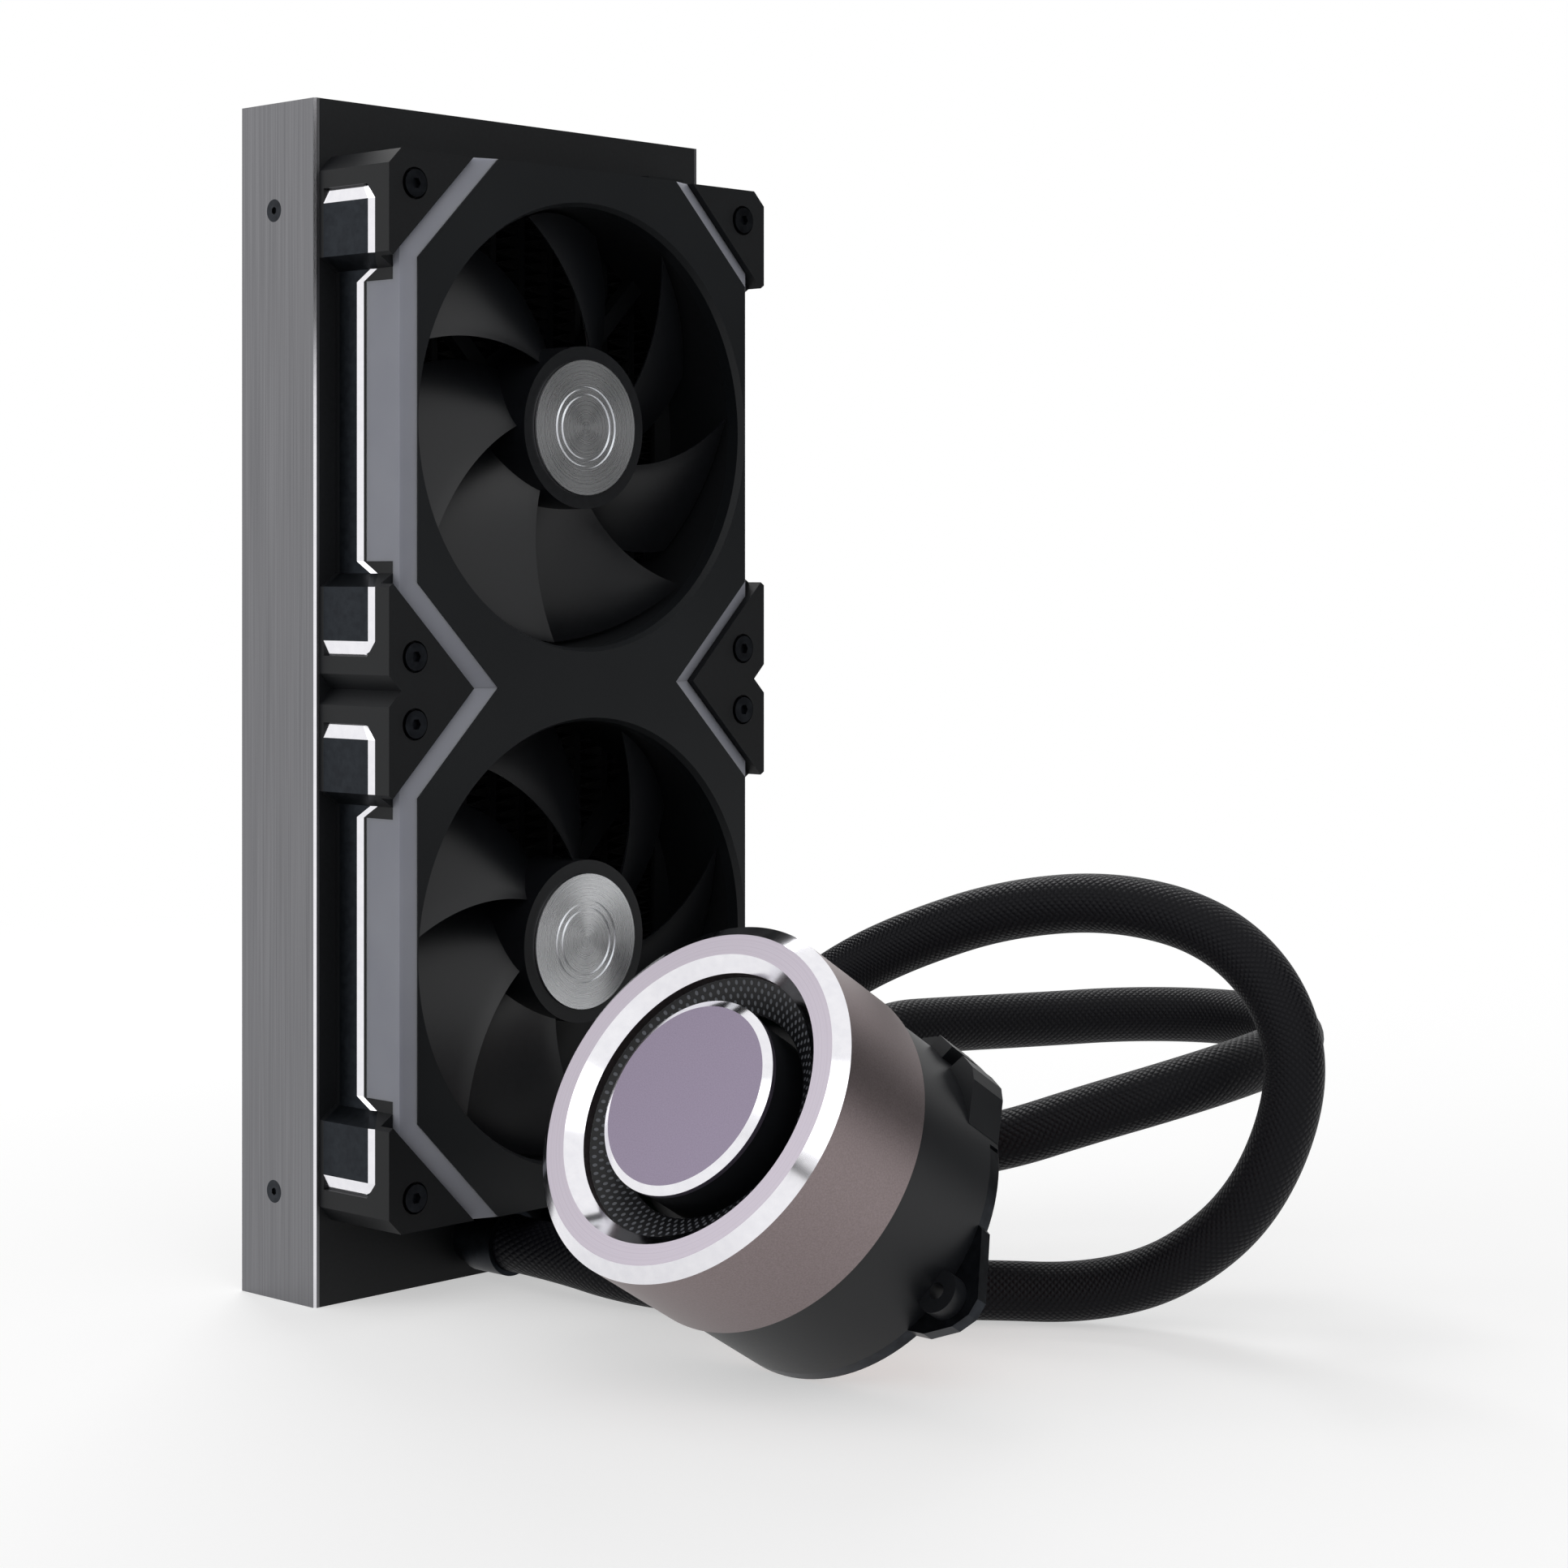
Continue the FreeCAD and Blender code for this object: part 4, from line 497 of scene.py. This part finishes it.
@dataclass
class Finishes:
    """Every material of the cooler, made once."""

    ready: dict[str, bpy.types.Material] = field(default_factory=dict)

    def build(self) -> None:
        """Makes the materials."""
        finishes = [
            # Extruded aluminium plate, brushed along its length, then anodised grey: long soft streaks.
            Metal("brushed grey anodised aluminium", "#6c6c6f", 0.4, Grain.LENGTHWISE, "#808083", 0.35),
            # A cutter has gone along the edge after anodising, so the bare metal shines.
            Metal("diamond cut aluminium", "#f0eff3", 0.12, Grain.POLISHED, "#eae9ee"),
            # Sheet and castings under black powder coat: a dense orange peel.
            Moulding("black powder coat", "#0b0c0e", 0.5, 0.9, "#15171a", 0.2, 0.3),
            # Glass filled nylon frame, moulded black.
            Moulding("moulded black nylon", "#090a0c", 0.5, 0.6, "#121417", 0.12, 0.25),
            # Fan blades: smoother moulded plastic with a broad dull shine.
            Moulding("moulded black blade plastic", "#0b0c0f", 0.38, 1.4, "#111317", 0.05, 0.4),
            # Anodised black sheet, satin, with very fine grain.
            Metal("black anodised aluminium", "#22252a", 0.42, Grain.SATIN, "#2a2e33", 0.4),
            # The front plate is lacquered, a little glossier than the frame behind it.
            Moulding("black lacquered front plate", "#0e1013", 0.42, 0.5, "#15181b", 0.06, 0.3),
            # The light guide's surface is blasted in the mould, so it looks grey and soft, never clear.
            FrostedGuide("frosted polycarbonate", "#9698a2", 0.45),
            # Bar stock faced on a lathe: bright fans of light that turn round the middle.
            Metal("spun aluminium", "#dcdee1", 0.28, Grain.SPUN, "#ecedef", 0.25, 0.8, "Y"),
            # Screws and small steel pieces, blackened in a hot bath: a dark oily gleam.
            Metal("black oxide steel", "#24262a", 0.36, Grain.SATIN, "#303338", 0.6),
            # The pump cap: blasted with fine beads, then anodised brown mauve, with a dry sparkle.
            Metal("bead blasted mauve aluminium", "#847878", 0.42, Grain.BLASTED, "#938788", 0.35),
            # The cap's front face, turned after anodising in a paler bath: fine rings round the axis.
            Metal("spun lilac aluminium", "#a69fa9", 0.36, Grain.SPUN, "#b0a9b3", 0.25, axis_place=PUMP_PLACE),
            # The middle disc: anodised violet over a fine blast, an even satin with no lines.
            Metal("satin violet aluminium", "#7b7283", 0.38, Grain.BLASTED, "#857c8d", 0.3,
                  axis_place=PUMP_PLACE),
            # The pump's housing, moulded in black nylon with a slightly smoother skin than the fans.
            Moulding("moulded black pump housing", "#0c0d10", 0.42, 0.6, "#15171b", 0.1, 0.35),
            # Lacquered sheet steel with punched holes; the holes are painted as small pale dots, a painted
            # highlight for their bright rims.
            Perforated("punched black ring", "#0d0e11", 0.42, axis_place=PUMP_PLACE),
            # The cold plate is ground flat, so the copper shows fine curved scratches.
            Metal("ground copper", "#b87352", 0.3, Grain.SPUN, "#c98463", 0.3),
            # Stamped sheet and plain steel inside the motors: a flat grey, left as rolled.
            Metal("electrical steel", "#8a8c90", 0.4, Grain.SATIN, "#9b9da1", 0.5),
            # Pressed bronze powder soaked in oil: brown and dull, with a fine grit.
            Metal("sintered bronze", "#8c6a3e", 0.5, Grain.BLASTED, "#a07b4a", 0.4),
            # Solder mask over glass fibre: a dark glossy green.
            Moulding("green circuit board", "#0d2b1b", 0.4, 1.5, "#14382a", 0.05, 0.4),
            # Polished ceramic for the pump's shaft: off white and smooth.
            Moulding("white ceramic", "#dcdad2", 0.25, 1.0, "#e6e4de", 0.02, 0.5),
            # Rubber for the seal: the dullest black of all.
            Moulding("black seal rubber", "#0a0a0a", 0.7, 0.8, "#121212", 0.15, 0.2),
            # Braided nylon yarn: fine crossing bundles, nearly black; the crests are glossier and painted a
            # little lighter, a painted glint.
            WovenSleeve("black woven sleeve", "#040409", 0.5),
        ]
        for finish in finishes:
            self.ready[finish.name] = finish.material()
        log.info("finishes: %d", len(self.ready))

    def __getitem__(self, name: str) -> bpy.types.Material:
        """Returns one material by name."""
        return self.ready[name]


@dataclass
class Radiator:
    """The radiator: tanks, side plates and the folded fins between its tubes."""

    finishes: Finishes
    core_width_mm: float = 120.0
    channel_mm: float = 1.2
    tubes: int = 12
    tube_mm: float = 1.8
    fin_depth_mm: float = 20.0
    fin_pitch_mm: float = 2.8
    fin_mm: float = 0.16
    fin_gap_mm: float = 0.02
    low_mm: float = 19.3
    high_mm: float = 259.1

    def build(self) -> None:
        """Dresses the radiator's nodes and folds its fins."""
        plain = {
            "black powder coat": ["bottom_tank", "top_tank", "coolant_tubes", "left_channel", "right_channel"],
            "black oxide steel": ["side_plate_screws", "fill_plug"],
            "black anodised aluminium": ["radiator_barbs"],
        }
        for finish, nodes in plain.items():
            for node in nodes:
                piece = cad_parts[node]
                dress(piece, self.finishes[finish])
                soften(piece, 0.3 if node.endswith("tank") else 0.12)
                log.info("radiator: %s", node)
        for side in ("left", "right"):
            self.side_plate(side)
        self.fins()

    def side_plate(self, side: str) -> None:
        """Dresses a side plate: brushed face, bright cut along its long edges.

        Args:
            side: left or right.
        """
        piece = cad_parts[f"{side}_side_plate"]
        piece.data.materials.clear()
        piece.data.materials.append(self.finishes["brushed grey anodised aluminium"])
        piece.data.materials.append(self.finishes["diamond cut aluminium"])
        # The cut is where a face looks both sideways and forwards or back.
        for polygon in piece.data.polygons:
            slanted = 0.3 < abs(polygon.normal.x) < 0.9 and abs(polygon.normal.y) > 0.3
            polygon.material_index = 1 if slanted else 0
        smooth(piece)
        log.info("radiator: %s side plate", side)

    def fins(self) -> None:
        """Folds the fins, closer together than the solids that they stand for."""
        inner = self.core_width_mm - 2 * self.channel_mm
        gap = (inner - self.tubes * self.tube_mm) / (self.tubes + 1)
        shape = bmesh.new()
        for strip in range(self.tubes + 1):
            left = -inner / 2 + strip * (gap + self.tube_mm)
            self.fold(shape, left + self.fin_gap_mm, left + gap - self.fin_gap_mm)
        mesh = bpy.data.meshes.new("folded_fins")
        shape.to_mesh(mesh)
        shape.free()
        piece = new_piece("folded_fins", mesh, "cooler", ("cooling_fins",))
        dress(piece, self.finishes["black powder coat"])
        log.info("radiator: folded fins, %d faces", len(mesh.polygons))

    def fold(self, shape: bmesh.types.BMesh, left: float, right: float) -> None:
        """Adds one zigzag strip.

        Args:
            shape: the mesh under construction.
            left: where the strip's left folds lie, in millimetres.
            right: where its right folds lie.
        """
        half = self.fin_pitch_mm / 2
        count = int((self.high_mm - self.low_mm) / half)
        lines = []
        for y in (-self.fin_depth_mm / 2, self.fin_depth_mm / 2):
            for shift in (0, self.fin_mm):
                points = [(left if i % 2 else right, self.low_mm + i * half) for i in range(count)]
                lines.append([shape.verts.new((x * MM, y * MM, (z + shift) * MM)) for x, z in points])
        front, front_up, back, back_up = lines
        for i in range(count - 1):
            for a, b in ((front, back), (back, back_up), (back_up, front_up), (front_up, front)):
                shape.faces.new((a[i], a[i + 1], b[i + 1], b[i]))
        shape.normal_update()


@dataclass
class Fan:
    """One of the two linked fans."""

    finishes: Finishes
    name: str
    hub_mm: float
    guide_corner_mm: float = 95.1
    guide_side_mm: float = 55.4
    guide_slope_mm: float = 2.5
    panel_end_mm: float = 48.0

    def build(self) -> None:
        """Dresses the fan's nodes."""
        plain = {
            "moulded black nylon": [("frame", 0.35)],
            "black lacquered front plate": [("front_plate", 0.3)],
            "moulded black blade plastic": [("rotor", 0.0)],
            "spun aluminium": [("hub_cap", 0.15)],
            "electrical steel": [("rotor_yoke", 0.0), ("shaft", 0.0), ("stator", 0.0)],
            "sintered bronze": [("bearing", 0.0)],
            "green circuit board": [("motor_board", 0.0)],
            "black oxide steel": [("screws", 0.15)],
        }
        for finish, parts in plain.items():
            for part, width in parts:
                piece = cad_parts[f"{self.name}_{part}"]
                dress(piece, self.finishes[finish])
                soften(piece, width)
                log.info("%s: %s", self.name, part)
        for side in ("left", "right"):
            self.side_panel(side)
            self.sloped_guide(f"{self.name}_{side}_light_guide")

    def sloped_guide(self, node: str) -> None:
        """Builds a light guide whose front strip slopes back towards its outer edge.

        Args:
            node: the node that the guide stands for.
        """
        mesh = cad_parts[node].data.copy()
        front = min(vertex.co.y for vertex in mesh.vertices)
        for vertex in mesh.vertices:
            across, up = abs(vertex.co.x) / MM, abs(vertex.co.z / MM - self.hub_mm)
            outer = across + up > self.guide_corner_mm - EDGE_MM or across > self.guide_side_mm - EDGE_MM
            if outer and vertex.co.y < front + EDGE_MM * MM:
                vertex.co.y += self.guide_slope_mm * MM
        piece = new_piece(f"{node}_sloped", mesh, "cooler", (node,))
        dress(piece, self.finishes["frosted polycarbonate"])
        smooth(piece)
        log.info("%s", node)

    def side_panel(self, side: str) -> None:
        """Dresses a side panel: black face, bright cut bevel round its front and ends.

        Args:
            side: left or right.
        """
        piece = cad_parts[f"{self.name}_{side}_side_panel"]
        piece.data.materials.clear()
        piece.data.materials.append(self.finishes["black anodised aluminium"])
        piece.data.materials.append(self.finishes["diamond cut aluminium"])
        outward = -1 if side == "left" else 1
        for polygon in piece.data.polygons:
            normal = polygon.normal
            above_hub = abs(polygon.center.z / MM - self.hub_mm)
            faces_front = normal.y < -0.2
            faces_end = abs(normal.z) > 0.2 and above_hub > self.panel_end_mm
            slanted = normal.x * outward > 0.1 and (faces_front or faces_end)
            polygon.material_index = 1 if slanted else 0
        smooth(piece, FINE_BEND_DEG)
        log.info("%s: %s side panel", self.name, side)


@dataclass
class PumpHead:
    """The tilted pump head, turned about its own axis."""

    finishes: Finishes

    def turned(self, name: str, profile: list[tuple[float, float]], node: str,
               bands: list[tuple[float, float, float, float, str]], finish: str) -> None:
        """Builds one turned piece.

        Args:
            name: the piece's name.
            profile: its closed outline, as radius and depth in millimetres.
            node: the node that it stands for.
            bands: least and most radius, least and most depth of a face's middle, and the finish there.
            finish: the finish everywhere else.
        """
        mesh = turned_mesh(name, profile)
        piece = new_piece(name, mesh, "cooler", (node,))
        dress(piece, self.finishes[finish])
        for band in bands:
            mesh.materials.append(self.finishes[band[4]])
        for polygon in mesh.polygons:
            middle = polygon.center / MM
            radius, depth = math.hypot(middle.x, middle.y), -middle.z
            for i, (r0, r1, d0, d1, _) in enumerate(bands):
                if r0 <= radius <= r1 and d0 <= depth <= d1:
                    polygon.material_index = i + 1
        mesh.transform(PUMP_PLACE)
        smooth(piece, FINE_BEND_DEG)
        log.info("pump head: %s", name)

    def build(self) -> None:
        """Builds the turned pieces and dresses the rest."""
        self.turned("pump_cap_turned",
                    [(35.6, 0), (38.5, 2.4), (38.5, 27.9), (37.9, 28.5), (36.1, 28.5), (36.1, 5), (28.4, 5),
                     (28.4, 3), (31.2, 0)],
                    "pump_cap",
                    [(31.3, 35.5, -0.1, 0.2, "spun lilac aluminium"),
                     (35.6, 38.4, 0.2, 2.3, "diamond cut aluminium"),
                     (28.4, 31.2, 0.1, 2.9, "diamond cut aluminium"),
                     (37.8, 38.5, 27.8, 28.6, "diamond cut aluminium")],
                    "bead blasted mauve aluminium")
        self.turned("pump_ring_punched",
                    [(30.4, 5), (28.4, 5), (22.2, 9), (22.2, 9.9), (28.4, 5.9), (30.4, 5.9)],
                    "pump_mesh_ring", [], "punched black ring")
        self.turned("pump_disc_turned",
                    [(0, -0.6), (19.3, -0.6), (21, 0.5), (21, 1.6), (0, 1.6)],
                    "pump_centre_disc",
                    [(19.4, 21, -0.5, 0.4, "diamond cut aluminium")], "satin violet aluminium")
        plain = {
            "moulded black pump housing": ["pump_base", "pump_well", "pump_partition", "pump_impeller",
                                           "pump_upper_elbow", "pump_lower_elbow"],
            "green circuit board": ["pump_light_board"],
            "electrical steel": ["pump_stator"],
            "white ceramic": ["pump_shaft"],
            "black seal rubber": ["pump_gasket"],
            "ground copper": ["pump_cold_plate"],
            "black oxide steel": ["pump_cold_plate_screws", "pump_bracket_ring"],
        }
        for finish, nodes in plain.items():
            for node in nodes:
                dress(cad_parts[node], self.finishes[finish])
                smooth(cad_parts[node])
                log.info("pump head: %s", node)


@dataclass
class Hose:
    """One sleeved hose, on the route between its two fittings."""

    finishes: Finishes
    name: str
    length_mm: float
    route_mm: list[tuple[float, float, float]]
    diameter_mm: float = 13.0

    def build(self) -> None:
        """Builds the hose as one smooth curve."""
        curve = bpy.data.curves.new(f"{self.name}_sleeved", "CURVE")
        curve.dimensions = "3D"
        line = curve.splines.new("NURBS")
        line.points.add(len(self.route_mm) - 1)
        for point, spot in zip(line.points, self.route_mm):
            point.co = (spot[0] * MM, spot[1] * MM, spot[2] * MM, 1.0)
        line.order_u = 3
        line.use_endpoint_u = True
        line.resolution_u = 16
        curve.bevel_depth = self.diameter_mm / 2 * MM
        curve.bevel_resolution = 12
        curve.use_fill_caps = True
        piece = bpy.data.objects.new(f"{self.name}_sleeved", curve)
        bpy.context.scene.collection.objects.link(piece)
        curve.materials.append(self.finishes["black woven sleeve"])
        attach(piece, "cooler")
        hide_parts(self.name)
        log.info("hose: %s", self.name)


@dataclass
class Studio:
    """Plain floor, soft light and the camera at the photograph's angle."""

    camera_mm: tuple[float, float, float] = (-522.4, -588.4, 165.7)
    yaw_deg: float = 47.12
    lens_mm: float = 74.49
    shift: tuple[float, float] = (-0.0059, -0.1358)
    sky_light: float = 0.45
    floor_lift: float = 0.5
    floor_half_m: float = 6.0
    floor_tone: float = 0.62
    floor_roughness: float = 0.6
    floor_fade_m: tuple[float, float] = (0.3, 0.8)
    card_aim: tuple[float, float, float] = (0.0, 0.0, 0.12)

    def build(self) -> None:
        """Sets up the camera, floor, world and lamps."""
        self.camera()
        self.floor()
        self.world()
        self.lamps()
        self.cards()
        bpy.context.scene.view_settings.view_transform = "Standard"
        log.info("studio")

    def camera(self) -> None:
        """Places the camera."""
        data = bpy.data.cameras.new("camera")
        data.lens = self.lens_mm
        data.sensor_width = 36.0
        data.shift_x, data.shift_y = self.shift
        camera = bpy.data.objects.new("camera", data)
        camera.location = Vector(self.camera_mm) * MM
        camera.rotation_euler = (math.pi / 2, 0, -math.radians(self.yaw_deg))
        bpy.context.scene.collection.objects.link(camera)
        bpy.context.scene.camera = camera

    def seen(self, tree: bpy.types.NodeTree) -> bpy.types.NodeSocket:
        """Adds a test for rays that show the floor or the sky: straight, mirrored or through a clear piece.

        Args:
            tree: the node tree.

        Returns:
            1 for such a ray, else 0.
        """
        path = add_node(tree, "ShaderNodeLightPath")
        glossy = add_node(tree, "ShaderNodeMath", operation="MAXIMUM",
                          links={0: path.outputs["Is Camera Ray"], 1: path.outputs["Is Glossy Ray"]})
        return add_node(tree, "ShaderNodeMath", operation="MAXIMUM",
                        links={0: glossy.outputs[0], 1: path.outputs["Is Transmission Ray"]}).outputs[0]

    def floor(self) -> None:
        """Lays a pale floor that keeps the shadow and turns plain white away from the object."""
        mesh = bpy.data.meshes.new("floor")
        half = self.floor_half_m
        mesh.from_pydata([(-half, -half, 0), (half, -half, 0), (half, half, 0), (-half, half, 0)], [],
                         [(0, 1, 2, 3)])
        floor = bpy.data.objects.new("floor", mesh)
        bpy.context.scene.collection.objects.link(floor)
        material = bpy.data.materials.new("white studio floor")
        material.use_nodes = True
        tree = material.node_tree
        shader = tree.nodes["Principled BSDF"]
        shader.inputs["Base Color"].default_value = (self.floor_tone,) * 3 + (1,)
        shader.inputs["Roughness"].default_value = self.floor_roughness
        shader.inputs["Specular IOR Level"].default_value = 0.0
        seen = self.seen(tree)
        lift = add_node(tree, "ShaderNodeMath", {1: self.floor_lift}, {0: seen}, operation="MULTIPLY")
        glow = add_node(tree, "ShaderNodeEmission", links={"Strength": lift.outputs[0]})
        near = add_node(tree, "ShaderNodeAddShader", links={0: shader.outputs[0], 1: glow.outputs[0]})
        sky = add_node(tree, "ShaderNodeMath", {1: self.sky_light}, {0: seen}, operation="MAXIMUM")
        white = add_node(tree, "ShaderNodeEmission", links={"Strength": sky.outputs[0]})
        place = add_node(tree, "ShaderNodeTexCoord").outputs["Object"]
        away = add_node(tree, "ShaderNodeVectorMath", links={0: place}, operation="LENGTH").outputs["Value"]
        share = add_node(tree, "ShaderNodeMapRange",
                         {"From Min": self.floor_fade_m[0], "From Max": self.floor_fade_m[1]}, {"Value": away},
                         interpolation_type="SMOOTHSTEP")
        both = add_node(tree, "ShaderNodeMixShader",
                        links={0: share.outputs["Result"], 1: near.outputs[0], 2: white.outputs[0]})
        tree.links.new(both.outputs[0], tree.nodes["Material Output"].inputs["Surface"])
        mesh.materials.append(material)

    def world(self) -> None:
        """White behind the object, a softer light on it."""
        world = bpy.data.worlds.new("studio")
        bpy.context.scene.world = world
        world.use_nodes = True
        tree = world.node_tree
        strength = add_node(tree, "ShaderNodeMath", {1: self.sky_light}, {0: self.seen(tree)},
                            operation="MAXIMUM")
        background = tree.nodes["Background"]
        background.inputs["Color"].default_value = (1, 1, 1, 1)
        tree.links.new(strength.outputs[0], background.inputs["Strength"])

    def lamps(self) -> None:
        """Hangs the soft lamps."""
        for name, spot, aim, size, watts in (
                ("key", (-1.3, 0.7, 1.1), (0, -0.05, 0.12), 1.0, 4.0),
                ("back", (0.8, 1.1, 1.4), (0, -0.05, 0.1), 0.9, 12.0),
                ("fill", (-0.9, -1.2, 1.3), (0, -0.05, 0.12), 1.2, 4.0)):
            data = bpy.data.lights.new(name, "AREA")
            data.size = size
            data.energy = watts
            lamp = bpy.data.objects.new(name, data)
            lamp.location = spot
            lamp.rotation_euler = (Vector(aim) - Vector(spot)).to_track_quat("-Z", "Y").to_euler()
            bpy.context.scene.collection.objects.link(lamp)

    def cards(self) -> None:
        """Stands black cards round the object: only mirrored rays see them, so dark faces stay deep."""
        material = bpy.data.materials.new("matt black card")
        material.use_nodes = True
        shader = material.node_tree.nodes["Principled BSDF"]
        shader.inputs["Base Color"].default_value = linear("#0a0a0a")
        shader.inputs["Roughness"].default_value = 1.0
        shader.inputs["Specular IOR Level"].default_value = 0.0
        for name, spot, width, height in (
                ("card_right", (0.75, -0.7, 0.25), 1.0, 0.7),
                ("card_high", (-0.39, -0.51, 0.87), 0.14, 0.16),
                ("card_low", (-0.76, -0.55, 0.34), 0.2, 0.14)):
            mesh = bpy.data.meshes.new(name)
            x, y = width / 2, height / 2
            mesh.from_pydata([(-x, -y, 0), (x, -y, 0), (x, y, 0), (-x, y, 0)], [], [(0, 1, 2, 3)])
            mesh.materials.append(material)
            card = bpy.data.objects.new(name, mesh)
            card.location = spot
            facing = Vector(self.card_aim) - Vector(spot)
            card.rotation_euler = facing.to_track_quat("-Z", "Y").to_euler()
            bpy.context.scene.collection.objects.link(card)
            card.visible_camera = card.visible_diffuse = False
            card.visible_shadow = card.visible_transmission = False


HOSE_1_ROUTE: list[tuple[float, float, float]] = [
    (-14, -17.5, 9.6), (-14, -41.5, 9.6), (-13, -66, 7.2), (-4, -92, 7), (13, -113, 7), (31, -131, 7),
    (44, -151, 7), (52, -170, 14), (56, -188, 31), (57, -198, 57), (56, -193, 76), (53, -178, 89),
    (47.5, -155, 93.5), (40, -131, 90.5), (31.5, -111, 83), (22.5, -98.5, 75.5), (10.2, -93.7, 67),
    (-6.7, -87.8, 58.2),
]
HOSE_2_ROUTE: list[tuple[float, float, float]] = [
    (-21.3, -81.6, 26.7), (-1.5, -78.8, 27.1), (22, -86, 29), (35, -106, 33), (40, -129, 38),
    (50, -146, 45), (59, -162, 51), (76, -172, 56), (100, -169, 58), (117, -153, 59), (118, -132, 59),
    (106, -115, 59), (89, -101, 58), (69, -91, 58), (51, -84, 58), (38, -78, 48), (27, -68, 32),
    (18, -58, 17), (14, -41.5, 9.6), (14, -17.5, 9.6),
]


def main() -> None:
    """Builds the whole scene."""
    logging.basicConfig(level=logging.INFO, format="%(message)s")
    finishes = Finishes()
    finishes.build()
    Studio().build()
    Hose(finishes, "hose_1", 388.0, HOSE_1_ROUTE).build()
    Hose(finishes, "hose_2", 402.0, HOSE_2_ROUTE).build()
    Radiator(finishes).build()
    Fan(finishes, "lower_fan", 79.2).build()
    Fan(finishes, "upper_fan", 199.2).build()
    PumpHead(finishes).build()
    dress(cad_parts["hose_collars"], finishes["black anodised aluminium"])
    smooth(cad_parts["hose_collars"])


if __name__ == "__main__":
    main()
